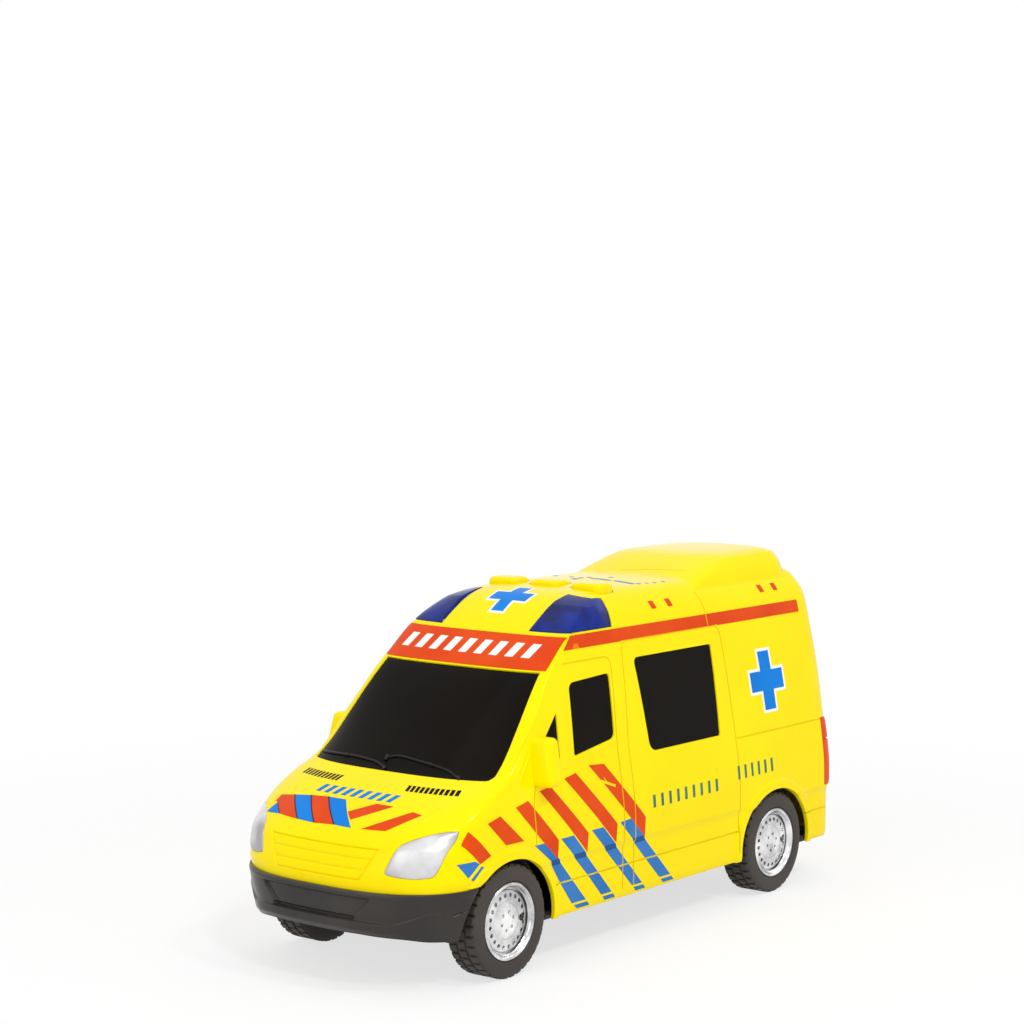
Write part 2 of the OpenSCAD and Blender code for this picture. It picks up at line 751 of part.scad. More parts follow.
// Bumper over the lower nose, from arch to arch
bumper_low_share = 0;
bumper_high_share = 0.167;
bumper_shares = [
    [0, 0.55], [0.2, 0.75], [0.34, 1], [0.44, 1], [0.52, 0.74], [0.88, 0.74], [0.93, 0.86], [1, 0.86]
];
bumper_cols = 18;
bumper_rows = 9;
bumper_end_gap = 0.8;
bumper_end_share = 0.4;
recess_w_share = 0.46;
recess_low_share = 0.5;
recess_high_share = 0.86;
recess_depth = 0.7;
function bumper_end(z) =
    let (reach = sqrt(max(0, arch_r ^ 2 - (z - axle_z) ^ 2)))
    front_axle_x + bumper_end_gap + lip_w + arch_stretch_share * reach;
function bumper_at(u, v, off) =
    let (z = height(mix(bumper_low_share, bumper_high_share, v)))
    let (s = 2 * u - 1, t = s * nose_t_at_x(bumper_end(z), z))
    let (fade = mix(1, bumper_end_share, s ^ 6))
    skin_off(t, z, off <= fit ? off : off * curve(bumper_shares, v) * fade);
module front_bumper() {
    color(trim_black) difference() {
        plate(function (u, v, off) bumper_at(u, v, off), bumper_cols, bumper_rows, nose_setback, fit);
        plate(function (u, v, off)
            let (s = mix(recess_low_share, recess_high_share, v))
            let (z = height(mix(bumper_low_share, bumper_high_share, s)))
            let (w = recess_w_share * half_w(z) * mix(s, 1, s))
            skin_off(nose_t((2 * u - 1) * w, z), z, off),
            grille_cols, 1, nose_setback + over, nose_setback * bumper_shares[4][1] - recess_depth);
    }
}

// Chassis: floor, wheel tubs, axle bearings, battery box, speaker ring
chassis_fit = 0.3;
tub_gap = 2.4;
tub_t = 1.2;
tub_r = axle_z + tub_gap;
tub_in_gap = 2;
tub_in_y = half_track - tyre_w - tub_in_gap;
tub_out_gap = 3.8;
tub_out_y = body_w / 2 - wall - tub_out_gap;
bearing_y = 16;
bearing_w = 4;
bearing_l = 8;
bearing_rise = 3.4;
axle_channel = 0.8;
module floor_outline() {
    polygon([for (t = stations) let (p = skin_in(t, sill_h - over, wall + chassis_fit)) [p[0], p[1]]]);
}
module wheel_tub(x) {
    translate([x, 0, axle_z]) {
        along_y(tub_in_y, tub_out_y) difference() {
            circle(tub_r + tub_t, $fn = fine);
            circle(tub_r, $fn = fine);
        }
        along_y(tub_in_y - tub_t, tub_in_y) difference() {
            circle(tub_r + tub_t, $fn = fine);
            circle(axle_r + axle_channel, $fn = fine);
        }
    }
}
module below_floor() {
    translate([rear_x, -body_w / 2, -body_h]) cube([body_len, body_w, floor_z + body_h]);
}
module wheel_bay(x) {
    translate([x - tub_r, tub_in_y, floor_z - over]) cube([2 * tub_r, body_w, floor_t + 2 * over]);
}
module bearing(x) {
    translate([x - bearing_l / 2, bearing_y, floor_z])
        cube([bearing_l, bearing_w, axle_z + axle_r + bearing_rise - floor_z]);
}
module axle_bore(x, r) {
    translate([x, 0, axle_z]) rotate([quarter, 0, 0])
        cylinder(r = r, h = body_w, center = true, $fn = fine);
}

// Battery box in the floor
cover_t = 1.6;
cell_gap = 0.6;
contact_t = 0.3;
contact_w = 7;
box_wall = 1.5;
box_x = -3;
cell_pitch = cell_d + cell_gap;
box_l = cell_count * cell_pitch + cell_gap;
box_w = cell_d + 2 * cell_gap;
cell_z = floor_z + cover_t + contact_t;
box_ceiling = cell_z + cell_t + contact_t + touch;
cover_margin = 2.2;
cover_screw_end = 8;
cover_l = box_l + 2 * cover_margin + cover_screw_end;
cover_w = box_w + 2 * cover_margin;
cover_x = box_x - cover_screw_end / 2;
cover_screw_inset = 5.4;
cover_screw_x = box_x - box_l / 2 - cover_screw_inset;
cover_screw_r = 1;
cover_head_r = 1.9;
cover_head_t = 0.9;
cover_screw_len = 4.4;
cover_boss_r = 2.6;
cover_boss_h = 5;
cell_xs = [for (i = [0:cell_count - 1]) box_x + (i - (cell_count - 1) / 2) * cell_pitch];
module box_walls() {
    translate([cover_x - cover_l / 2 - box_wall, -cover_w / 2 - box_wall, floor_z])
        cube([cover_l + 2 * box_wall, cover_w + 2 * box_wall, floor_t + box_wall]);
    translate([box_x - box_l / 2 - box_wall, -box_w / 2 - box_wall, floor_z])
        cube([box_l + 2 * box_wall, box_w + 2 * box_wall, box_ceiling + box_wall - floor_z]);
    translate([cover_screw_x, 0, floor_z])
        cylinder(r = cover_boss_r, h = floor_t + cover_boss_h, $fn = fine);
}
module box_cuts() {
    translate([box_x - box_l / 2, -box_w / 2, floor_z - over])
        cube([box_l, box_w, box_ceiling - floor_z + over]);
    translate([cover_x - cover_l / 2 - fit, -cover_w / 2 - fit, floor_z - over])
        cube([cover_l + 2 * fit, cover_w + 2 * fit, cover_t + fit + over]);
    translate([cover_screw_x, 0, floor_z - over])
        cylinder(r = cover_screw_r + touch, h = over + floor_t + cover_boss_h - box_wall, $fn = fine);
}

// Speaker on the floor
speaker_x = 36;
speaker_r = speaker_d / 2;
speaker_ring_t = 1.2;
speaker_ring_h = 3.6;
grille_hole_r = 1.1;
grille_hole_ring_shares = [0, 0.36, 0.7];
grille_hole_counts = [1, 6, 12];
module speaker_ring() {
    translate([speaker_x, 0, floor_z]) difference() {
        cylinder(r = speaker_r + fit + speaker_ring_t, h = floor_t + speaker_ring_h, $fn = fine);
        translate([0, 0, floor_t]) cylinder(r = speaker_r + fit, h = speaker_ring_h + over, $fn = fine);
    }
}
module speaker_holes() {
    for (ring = [0:len(grille_hole_counts) - 1]) for (i = [0:grille_hole_counts[ring] - 1])
        translate([speaker_x, 0, floor_z - over]) rotate(4 * quarter * i / grille_hole_counts[ring])
            translate([speaker_r * grille_hole_ring_shares[ring], 0, 0])
                cylinder(r = grille_hole_r, h = floor_t + 2 * over, $fn = fine);
}

head_r = 2.4;
head_t = 1.3;
head_seat = 0.8;
module screw_holes() {
    for (x = post_xs) for (y = [-post_y, post_y]) translate([x, y, floor_z - over]) {
        cylinder(r = head_r + fit, h = floor_t - head_seat + over, $fn = fine);
        cylinder(r = screw_r + fit, h = floor_t + 2 * over, $fn = fine);
    }
}
module chassis() {
    color(trim_black) difference() {
        union() {
            difference() {
                union() {
                    translate([0, 0, floor_z]) linear_extrude(floor_t) floor_outline();
                    both_sides() for (x = axle_xs) wheel_tub(x);
                }
                below_floor();
                both_sides() for (x = axle_xs) wheel_bay(x);
                for (x = axle_xs) axle_bore(x, axle_r + axle_channel);
                gearbox_opening();
            }
            both_sides() for (x = axle_xs) bearing(x);
            box_walls();
            speaker_ring();
        }
        for (x = axle_xs) axle_bore(x, axle_r + running_fit);
        box_cuts();
        speaker_holes();
        screw_holes();
        gearbox_screw_holes();
    }
}
module screw(r, len, h_r, h_t) {
    translate([0, 0, -h_t]) cylinder(r = h_r, h = h_t, $fn = fine);
    cylinder(r = r, h = len, $fn = fine);
}
module chassis_screws() {
    color(steel) for (x = post_xs) for (y = [-post_y, post_y])
        translate([x, y, floor_top - head_seat]) screw(screw_r, screw_len, head_r, head_t);
}

// Battery cover, cells and contacts
cover_rib_w = 0.8;
cover_rib_count = 5;
cover_rib_depth = 0.5;
module battery_cover() {
    color(trim_black) difference() {
        translate([cover_x - cover_l / 2, -cover_w / 2, floor_z]) cube([cover_l, cover_w, cover_t]);
        translate([cover_screw_x, 0, floor_z - over]) {
            cylinder(r = cover_head_r + fit, h = cover_head_t + over, $fn = fine);
            cylinder(r = cover_screw_r + fit, h = cover_t + 2 * over, $fn = fine);
        }
        for (i = [0:cover_rib_count - 1])
            translate([box_x + box_l / 2 - (1 + 2 * i) * cover_rib_w, -cover_w / 4, floor_z - over])
                cube([cover_rib_w, cover_w / 2, cover_rib_depth + over]);
    }
}
module battery_cover_screw() {
    color(steel) translate([cover_screw_x, 0, floor_z + cover_head_t])
        screw(cover_screw_r, cover_screw_len, cover_head_r, cover_head_t);
}
cell_step = 0.7;
cell_step_h = 1.2;
module battery_cells() {
    color(steel) for (x = cell_xs) translate([x, 0, cell_z]) {
        cylinder(r = cell_d / 2 - cell_step, h = cell_step_h, $fn = fine);
        translate([0, 0, cell_step_h]) cylinder(r = cell_d / 2, h = cell_t - cell_step_h, $fn = fine);
    }
}
module battery_contacts() {
    first = cell_xs[0];
    last = cell_xs[cell_count - 1];
    color(steel) {
        translate([first - contact_w / 2, -contact_w / 2, cell_z - contact_t])
            cube([last - first + contact_w, contact_w, contact_t]);
        translate([first - contact_w / 2, -contact_w / 2, cell_z + cell_t])
            cube([last - first + contact_w, contact_w, contact_t]);
    }
}
cone_share = 0.62;
magnet_share = 0.4;
basket_share = 0.45;
speaker_rim = 0.6;
module speaker() {
    color(steel) translate([speaker_x, 0, floor_top]) rotate_extrude($fn = fine)
        polygon([
            [0, speaker_t * (1 - cone_share)],
            [speaker_r * magnet_share, speaker_t * (1 - cone_share)],
            [speaker_r - speaker_rim, 0],
            [speaker_r, 0],
            [speaker_r, speaker_t * basket_share],
            [speaker_r * cone_share, speaker_t * cone_share],
            [speaker_r * magnet_share, speaker_t * cone_share],
            [speaker_r * magnet_share, speaker_t],
            [0, speaker_t]
        ]);
}

// Sound board, its chip and screws, lamps and wires
chip_l = 6;
chip_t = 1.2;
led_r = 2.5;
led_flange_r = 2.9;
led_flange_t = 1;
led_h = 6;
led_x = 12;
led_y = 19.5;
module sound_board() {
    color(board_green) difference() {
        union() {
            translate([board_x - board_l / 2, -board_w / 2, board_top - board_t])
                cube([board_l, board_w, board_t]);
            translate([board_x - chip_l / 2, -chip_l / 2, board_top - board_t - chip_t])
                cube([chip_l, chip_l, chip_t + board_t / 2]);
        }
        for (p = board_post_places) translate([p[0], p[1], board_top - board_t - over])
            cylinder(r = board_screw_r + fit, h = board_t + 2 * over, $fn = fine);
    }
}
module board_screws() {
    color(steel) for (p = board_post_places) translate([p[0], p[1], board_top - board_t])
        screw(board_screw_r, board_screw_len, board_head_r, board_head_t);
}
module beacon_leds() {
    color(lens_blue) both_sides() translate([board_x + led_x, led_y, board_top]) {
        cylinder(r = led_flange_r, h = led_flange_t, $fn = fine);
        cylinder(r = led_r, h = led_h - led_r, $fn = fine);
        translate([0, 0, led_h - led_r]) sphere(led_r, $fn = fine);
    }
}
wire_r = 0.7;
wire_sides = 6;
wire_steps = 6;
wire_gap = 4;
speaker_wire_shares = [[0, 0], [0.3, 0.12], [0.7, 0.8], [1, 1]];
function wire_ring(c) = [
    for (i = [0:wire_sides - 1]) let (a = 4 * quarter * i / wire_sides) c + wire_r * [cos(a), sin(a), 0]
];
module wire(from, to) {
    loft([for (i = [0:wire_steps])
        let (s = i / wire_steps, k = curve(speaker_wire_shares, s))
        wire_ring([mix(from[0], to[0], k), mix(from[1], to[1], k), mix(from[2], to[2], s)])]);
}
module wire_loom() {
    board_low = board_top - board_t;
    box_top = box_ceiling + box_wall;
    color(lamp_red) for (y = [-wire_gap, wire_gap]) {
        wire([speaker_x, y, floor_top + speaker_t], [board_x + board_post_x, y, board_low]);
        wire([box_x, y, box_top], [board_x - board_post_x, y, board_low]);
    }
}

// Roof buttons and their domes
button_crown = 0.6;
button_top = roof_h + button_rise;
flange_low = guide_low - moving_gap - button_flange_t;
module roof_button(y) {
    color(body_yellow) union() {
        button_block(y, 0, flange_low, button_top - button_crown);
        button_block(y, -button_crown, button_top - button_crown, button_top);
        translate([button_x - button_l / 2 - button_flange, y - button_w / 2, flange_low])
            cube([button_l + 2 * button_flange, button_w, button_flange_t]);
        translate([button_x, y, board_top + dome_h + touch])
            cylinder(r = stem_r, h = guide_low - board_top - dome_h, $fn = fine);
    }
}
module button_left() {
    roof_button(button_ys[0]);
}
module button_centre() {
    roof_button(button_ys[1]);
}
module button_right() {
    roof_button(button_ys[2]);
}
module button_dome(y) {
    color(lamp_silver) translate([button_x, y, board_top])
        cylinder(r1 = dome_r, r2 = dome_top_r, h = dome_h, $fn = fine);
}
module button_dome_left() {
    button_dome(button_ys[0]);
}
module button_dome_centre() {
    button_dome(button_ys[1]);
}
module button_dome_right() {
    button_dome(button_ys[2]);
}

// Axles, rims and tyres
rim_r = rim_d / 2;
axle_end_gap = 3.4;
rim_wall = 1.3;
rim_lip = 1.1;
rim_disc_share = 0.62;
rim_disc_t = 1.6;
rim_hub_r = 3.6;
rim_hub_rise = 1.4;
rim_cap_r = 1.5;
rim_cap_rise = 0.8;
dimple_count = 18;
dimple_r = 0.65;
dimple_share = 0.66;
dimple_depth = 0.6;
bolt_count = 6;
bolt_r = 0.65;
bolt_share = 0.72;
bolt_rise = 0.6;
valve_r = 1;
valve_share = 0.48;
axle_half = half_track - axle_end_gap;
module axle(x) {
    color(steel) translate([x, 0, axle_z]) rotate([quarter, 0, 0])
        cylinder(r = axle_r, h = 2 * axle_half, center = true, $fn = fine);
}
module front_axle() {
    axle(front_axle_x);
}
module rear_axle() {
    axle(rear_axle_x);
}
// A wheel's own frame: Z runs along the axle from its inner to its outer face
module on_wheel(x, side) {
    translate([x, side * (half_track - tyre_w), axle_z]) rotate([-side * quarter, 0, 0]) children();
}
rim_disc_z = tyre_w * rim_disc_share;
rim_hub_z = rim_disc_z + rim_hub_rise;
rim_bore = axle_half - half_track + tyre_w;
dimple_ring = rim_r * dimple_share;
module rim_profile() {
    polygon([
        [axle_r, 0], [rim_hub_r, 0],
        [rim_hub_r, rim_disc_z - rim_disc_t], [rim_r - rim_wall, rim_disc_z - rim_disc_t],
        [rim_r - rim_wall, 0], [rim_r, 0],
        [rim_r, tyre_w - rim_lip / 2], [rim_r - rim_lip / 2, tyre_w],
        [rim_r - rim_lip, tyre_w], [rim_r - 2 * rim_lip, rim_disc_z + rim_lip],
        [dimple_ring + dimple_r + rim_lip, rim_disc_z], [rim_hub_r + rim_hub_rise, rim_disc_z],
        [rim_hub_r, rim_hub_z], [rim_cap_r, rim_hub_z],
        [rim_cap_r, rim_hub_z + rim_cap_rise], [0, rim_hub_z + rim_cap_rise],
        [0, rim_bore], [axle_r, rim_bore]
    ]);
}
module rim(x, side) {
    color(lamp_silver) on_wheel(x, side) difference() {
        union() {
            rotate_extrude($fn = fine) rim_profile();
            for (i = [0:bolt_count - 1]) rotate(4 * quarter * i / bolt_count)
                translate([rim_hub_r * bolt_share, 0, rim_disc_z])
                    cylinder(r = bolt_r, h = rim_hub_rise + bolt_rise, $fn = fine);
        }
        for (i = [0:dimple_count - 1]) rotate(4 * quarter * i / dimple_count)
            translate([dimple_ring, 0, rim_disc_z - dimple_depth])
                cylinder(r = dimple_r, h = dimple_depth + over, $fn = fine);
        translate([0, rim_r * valve_share, rim_disc_z - rim_disc_t - over])
            cylinder(r = valve_r, h = rim_disc_t + 2 * over, $fn = fine);
    }
}
module rim_front_left() {
    rim(front_axle_x, 1);
}
module rim_front_right() {
    rim(front_axle_x, -1);
}
module rim_rear_left() {
    rim(rear_axle_x, 1);
}
module rim_rear_right() {
    rim(rear_axle_x, -1);
}
shoulder = 1.4;
bead = 0.7;
tyre_crown = 0.3;
block_depth = 1;
block_len = 3;
block_gap_share = 0.34;
tyre_r = tyre_d / 2;
module tyre_profile() {
    polygon([
        [rim_r, bead], [rim_r + bead, 0], [tyre_r - 2 * shoulder, 0], [tyre_r - tyre_crown, shoulder],
        [tyre_r, tyre_w / 2], [tyre_r - tyre_crown, tyre_w - shoulder], [tyre_r - 2 * shoulder, tyre_w],
        [rim_r + bead, tyre_w], [rim_r, tyre_w - bead]
    ]);
}
module tyre(x, side) {
    gap = 2 * PI * tyre_r / tread_blocks * block_gap_share;
    color(trim_black) on_wheel(x, side) difference() {
        rotate_extrude($fn = fine) tyre_profile();
        for (i = [0:tread_blocks - 1]) for (k = [0, 1])
            rotate(4 * quarter * (i + k / 2) / tread_blocks)
                translate([tyre_r - block_depth, -gap / 2, k == 0 ? -over : tyre_w - block_len])
                    cube([block_depth + over, gap, block_len + over]);
    }
}
module tyre_front_left() {
    tyre(front_axle_x, 1);
}
module tyre_front_right() {
    tyre(front_axle_x, -1);
}
module tyre_rear_left() {
    tyre(rear_axle_x, 1);
}
module tyre_rear_right() {
    tyre(rear_axle_x, -1);
}

// Push-and-go drive: axle gear, idler and flywheel, each meshing on its line of centres
pressure_angle = 25;
addendum_share = 0.8;
dedendum_share = 1;
backlash = 0.14;
flank_points = 5;
idler_angle = 40;
flywheel_angle = 12;
axle_gear_y = -4.4;
idler_gear_y = -1.2;
flywheel_y = 2;
shaft_r = shaft_d / 2;
function pitch_r(n) = gear_module * n / 2;
first_gap = pitch_r(axle_teeth) + pitch_r(pinion_teeth);
second_gap = pitch_r(idler_teeth) + pitch_r(pinion_teeth);
idler_place = [rear_axle_x + first_gap * cos(idler_angle), axle_z + first_gap * sin(idler_angle)];
flywheel_place = idler_place + second_gap * [cos(flywheel_angle), sin(flywheel_angle)];
function tip_r(n) = pitch_r(n) + gear_module * addendum_share;
function involute(angle) = tan(angle) * 2 * quarter / PI - angle;
function flank_half(n, r) =
    let (base = pitch_r(n) * cos(pressure_angle))
    let (a = r > base ? acos(base / r) : 0)
    quarter / n - backlash / pitch_r(n) * quarter / PI + involute(pressure_angle) - involute(a);
function gear_points(n) =
    let (root = pitch_r(n) - gear_module * dedendum_share, tip = tip_r(n))
    let (radii = [for (k = [0:flank_points]) mix(root, tip, k / flank_points)])
    [for (i = [0:n - 1])
        let (centre = 4 * quarter * i / n)
        each concat(
            [for (r = radii) gear_point(r, centre - flank_half(n, r))],
            [for (k = [flank_points:-1:0]) gear_point(radii[k], centre + flank_half(n, radii[k]))]
        )];
function gear_point(r, a) = r * [cos(a), sin(a)];
// Turns a gear so that a tooth, or a gap, points along an angle seen from the left
module toothed(n, angle, gap) {
    rotate(-angle + (gap ? 2 * quarter / n : 0)) polygon(gear_points(n));
}
module axle_gear() {
    color(gear_white) translate([rear_axle_x, 0, axle_z]) along_y(axle_gear_y, axle_gear_y + gear_w)
        difference() {
            toothed(axle_teeth, idler_angle, false);
            circle(axle_r, $fn = fine);
        }
}
hub_gap = 0.3;
module idler_gear() {
    color(gear_white) translate([idler_place[0], 0, idler_place[1]]) {
        along_y(axle_gear_y - hub_gap, idler_gear_y)
            toothed(pinion_teeth, idler_angle + 2 * quarter, true);
        along_y(idler_gear_y, idler_gear_y + gear_w) toothed(idler_teeth, flywheel_angle, false);
        along_y(-gearbox_half + hub_gap, gearbox_out - hub_gap) circle(shaft_r, $fn = fine);
    }
}
module flywheel() {
    color(steel) translate([flywheel_place[0], 0, flywheel_place[1]]) {
        along_y(idler_gear_y - hub_gap, flywheel_y)
            toothed(pinion_teeth, flywheel_angle + 2 * quarter, true);
        along_y(flywheel_y, flywheel_y + flywheel_w) circle(flywheel_d / 2, $fn = fine);
        along_y(-gearbox_half + hub_gap, gearbox_out - hub_gap) circle(shaft_r, $fn = fine);
    }
}

// Gearbox: a cup and a cover plate with the bearings of both shafts and the axle
gearbox_half = 8.6;
gearbox_wall = 1.3;
gearbox_clear = 0.8;
cover_plate_t = 1.4;
gearbox_out = gearbox_half + cover_plate_t;
tab_w = 5;
tab_l = 8;
tab_t = 1.6;
tab_screw_r = 0.9;
tab_head_r = 1.8;
tab_head_t = 1;
tab_x = flywheel_place[0];
module gearbox_outline(grow) {
    hull() {
        translate([rear_axle_x, -axle_z]) circle(tip_r(axle_teeth) + gearbox_clear + grow, $fn = coarse);
        translate([idler_place[0], -idler_place[1]])
            circle(tip_r(idler_teeth) + gearbox_clear + grow, $fn = coarse);
        translate([flywheel_place[0], -flywheel_place[1]])
            circle(flywheel_d / 2 + gearbox_clear + grow, $fn = coarse);
    }
}
module gearbox_bores() {
    for (p = [[rear_axle_x, axle_z, axle_r], [idler_place[0], idler_place[1], shaft_r],
        [flywheel_place[0], flywheel_place[1], shaft_r]])
        translate([p[0], 0, p[1]]) rotate([quarter, 0, 0])
            cylinder(r = p[2] + running_fit, h = body_w, center = true, $fn = fine);
}
tab_ys = [-gearbox_half - tab_w / 2, gearbox_out + tab_w / 2];
module gearbox_housing() {
    color(gear_white) difference() {
        union() {
            along_y(-gearbox_half, gearbox_half) gearbox_outline(gearbox_wall);
            translate([tab_x - tab_l / 2, -gearbox_half - tab_w, floor_top])
                cube([tab_l, tab_w + gearbox_wall, tab_t]);
        }
        along_y(-gearbox_half + gearbox_wall, gearbox_half + over) gearbox_outline(0);
        gearbox_bores();
        tab_hole(tab_ys[0]);
    }
}
module gearbox_cover() {
    color(gear_white) difference() {
        union() {
            along_y(gearbox_half, gearbox_out) gearbox_outline(gearbox_wall);
            translate([tab_x - tab_l / 2, gearbox_half, floor_top])
                cube([tab_l, cover_plate_t + tab_w, tab_t]);
        }
        gearbox_bores();
        tab_hole(tab_ys[1]);
    }
}
module tab_hole(y) {
    translate([tab_x, y, floor_top - over])
        cylinder(r = tab_screw_r + fit, h = tab_t + 2 * over, $fn = fine);
}
module gearbox_opening() {
    along_y(-gearbox_half - moving_gap, gearbox_out + moving_gap)
        gearbox_outline(gearbox_wall + moving_gap);
}
module gearbox_screw_holes() {
    for (y = tab_ys) translate([tab_x, y, floor_z - over])
        cylinder(r = tab_screw_r + touch, h = floor_t + 2 * over, $fn = fine);
}
module gearbox_screws() {
    color(steel) for (y = tab_ys) translate([tab_x, y, floor_top + tab_t]) mirror([0, 0, 1])
        screw(tab_screw_r, tab_t + floor_t - touch, tab_head_r, tab_head_t);
}

body_shell();
windscreen();
glazing_left();
glazing_right();
rear_glazing();
mirror_left();
mirror_right();
headlamp_left();
headlamp_right();
tail_lamp_left();
tail_lamp_right();
beacon_lens_left();
beacon_lens_right();
front_bumper();
chassis();
chassis_screws();
battery_cover();
battery_cover_screw();
battery_cells();
battery_contacts();
sound_board();
board_screws();
beacon_leds();
speaker();
wire_loom();
button_left();
button_centre();
button_right();
button_dome_left();
button_dome_centre();
button_dome_right();
front_axle();
rear_axle();
rim_front_left();
rim_front_right();
rim_rear_left();
rim_rear_right();
tyre_front_left();
tyre_front_right();
tyre_rear_left();
tyre_rear_right();
gearbox_housing();
gearbox_cover();
gearbox_screws();
axle_gear();
idler_gear();
flywheel();
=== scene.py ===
import math

import bmesh
import bpy
import numpy as np
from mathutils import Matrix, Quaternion, Vector


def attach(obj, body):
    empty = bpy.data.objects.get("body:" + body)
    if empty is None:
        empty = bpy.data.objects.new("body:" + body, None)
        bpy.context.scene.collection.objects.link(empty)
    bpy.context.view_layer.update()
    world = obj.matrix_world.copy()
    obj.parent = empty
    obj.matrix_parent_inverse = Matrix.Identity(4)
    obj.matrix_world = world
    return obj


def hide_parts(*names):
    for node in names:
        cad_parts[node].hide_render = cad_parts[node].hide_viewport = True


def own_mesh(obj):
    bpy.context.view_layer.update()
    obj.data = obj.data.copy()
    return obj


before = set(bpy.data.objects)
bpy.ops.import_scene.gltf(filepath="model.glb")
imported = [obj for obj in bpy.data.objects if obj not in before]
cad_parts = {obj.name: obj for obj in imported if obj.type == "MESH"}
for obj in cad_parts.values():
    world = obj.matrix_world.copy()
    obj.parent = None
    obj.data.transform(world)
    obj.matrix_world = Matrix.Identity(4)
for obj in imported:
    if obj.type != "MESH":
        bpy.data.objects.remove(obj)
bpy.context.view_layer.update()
mm = 0.001
rightAngle = math.pi / 2
scene = bpy.context.scene

# The van's skin, in millimetres: shares of height against shares of length or half width
van = {
    "length": 210.0, "width": 78.6, "roof": 102.3, "sill": 13.2, "wall": 2.0, "setback": 2.4,
    "tailRound": 4.5, "nosePower": 2.8, "tailPower": 7.0,
    "nose": [(0, .006), (.06, 0), (.155, 0), (.2, .001), (.245, .0045), (.29, .0105), (.328, .026),
             (.364, .048), (.402, .078), (.44, .1145), (.466, .14), (.487, .1535), (.755, .281),
             (.78, .2945), (.873, .343), (.93, .377), (.968, .405), (.99, .438), (1, .5)],
    "halfWidth": [(0, .968), (.02, .98), (.172, .983), (.19, 1), (.27, .998), (.36, .979), (.458, .945),
                  (.65, .868), (.772, .808), (.84, .772), (.878, .75), (.92, .703), (.952, .64),
                  (.974, .58), (.988, .5), (.996, .31), (1, .13)],
    "noseRound": [(0, .76), (.06, .67), (.12, .57), (.18, .54), (.25, .55), (.31, .54), (.36, .42), (.4, .35),
                  (.44, .31), (.487, .31), (.6, .225), (.7, .15), (.78, .105), (.875, .08), (.93, .15),
                  (1, .3)],
    "tail": [(0, .003), (.15, .003), (.45, .0035), (.6, .0015), (.87, .0025), (.96, .005), (1, .02)],
}
frontX, rearX = van["length"] / 2, -van["length"] / 2
bodyH = van["roof"] - van["sill"]
halfBody = van["width"] / 2
outside = 60  # clear of either flank
proud = 1.0  # how far a cutter stands over the skin


def curve(table, v):  # smooth through the table's points, without overshoot
    x, y = np.array(table, float).T
    d = np.diff(y) / np.diff(x)
    turn = d[:-1] * d[1:] > 0
    inner = np.where(turn, 2 * d[:-1] * d[1:] / np.where(turn, d[:-1] + d[1:], 1), 0)
    m = np.concatenate([d[:1], inner, d[-1:]])
    v = np.clip(v, x[0], x[-1])
    i = np.clip(np.searchsorted(x, v, side="right") - 1, 0, len(x) - 2)
    h = x[i + 1] - x[i]
    s = (v - x[i]) / h
    return ((1 + 2 * s) * (1 - s) ** 2 * y[i] + s * (1 - s) ** 2 * h * m[i]
            + s * s * (3 - 2 * s) * y[i + 1] - s * s * (1 - s) * h * m[i + 1])


def mix(a, b, s):
    return a + (b - a) * s


def smooth(lo, hi, v):
    s = np.clip((v - lo) / (hi - lo), 0, 1)
    return s * s * (3 - 2 * s)


def height(share):
    return van["sill"] + share * bodyH


def along(share):
    return frontX - share * van["length"]


def shareAt(z):
    return (z - van["sill"]) / bodyH


def noseX(z):
    return frontX - van["setback"] - van["length"] * curve(van["nose"], shareAt(z))


def tailX(z):
    return rearX + van["length"] * curve(van["tail"], shareAt(z))


def halfW(z):
    return halfBody * curve(van["halfWidth"], shareAt(z))


def noseDepth(z):
    return halfBody * curve(van["noseRound"], shareAt(z))


def outline(t, nose, tail, w, d, r, nosePower, tailPower):
    a, side = np.abs(t), np.where(t < 0, -1, 1)
    n, b = rightAngle * np.clip(a, 0, 1), rightAngle * np.clip(3 - a, 0, 1)
    x = np.where(a <= 1, nose - d * (1 - np.cos(n)),
                 np.where(a <= 2, mix(nose - d, tail + r, a - 1), tail + r * (1 - np.cos(b))))
    y = np.where(a <= 1, np.sin(n) ** (2 / nosePower), np.where(a <= 2, 1, np.sin(b) ** (2 / tailPower)))
    return x, side * w * y


# Stations t: 0 at the nose, 1 and 2 at the ends of the flank, 3 at the tail, the right side negative
def skinIn(t, z, g):
    h = z + g
    x, y = outline(t, noseX(h) - g, tailX(h) + g, halfW(h) - g, noseDepth(h), van["tailRound"],
                   van["nosePower"], van["tailPower"])
    return np.stack([x, y, z + 0 * x], -1)


def skin(t, z):
    return skinIn(t, z, 0)


def skinOff(t, z, off):
    t, z, off = np.broadcast_arrays(np.asarray(t, float), np.asarray(z, float), np.asarray(off, float))
    e = 0.004
    n = np.cross(skin(t + e, z) - skin(t - e, z), skin(t, z + e) - skin(t, z - e))
    n /= np.linalg.norm(n, axis=-1, keepdims=True)
    out = np.stack([np.where(np.abs(t) < 2, 1, -1), np.where(t < 0, -1, 1), 0 * t], -1)
    n *= np.where((n * out).sum(-1, keepdims=True) < 0, -1, 1)
    return skin(t, z) + off[..., None] * n


def turnAt(y, z, power):
    return np.arcsin(np.minimum(1, (np.abs(y) / halfW(z)) ** (power / 2))) / rightAngle


def noseT(y, z):
    return np.sign(y) * turnAt(y, z, van["nosePower"])


def tailT(y, z):
    return np.where(y < 0, -1, 1) * (3 - turnAt(y, z, van["tailPower"]))


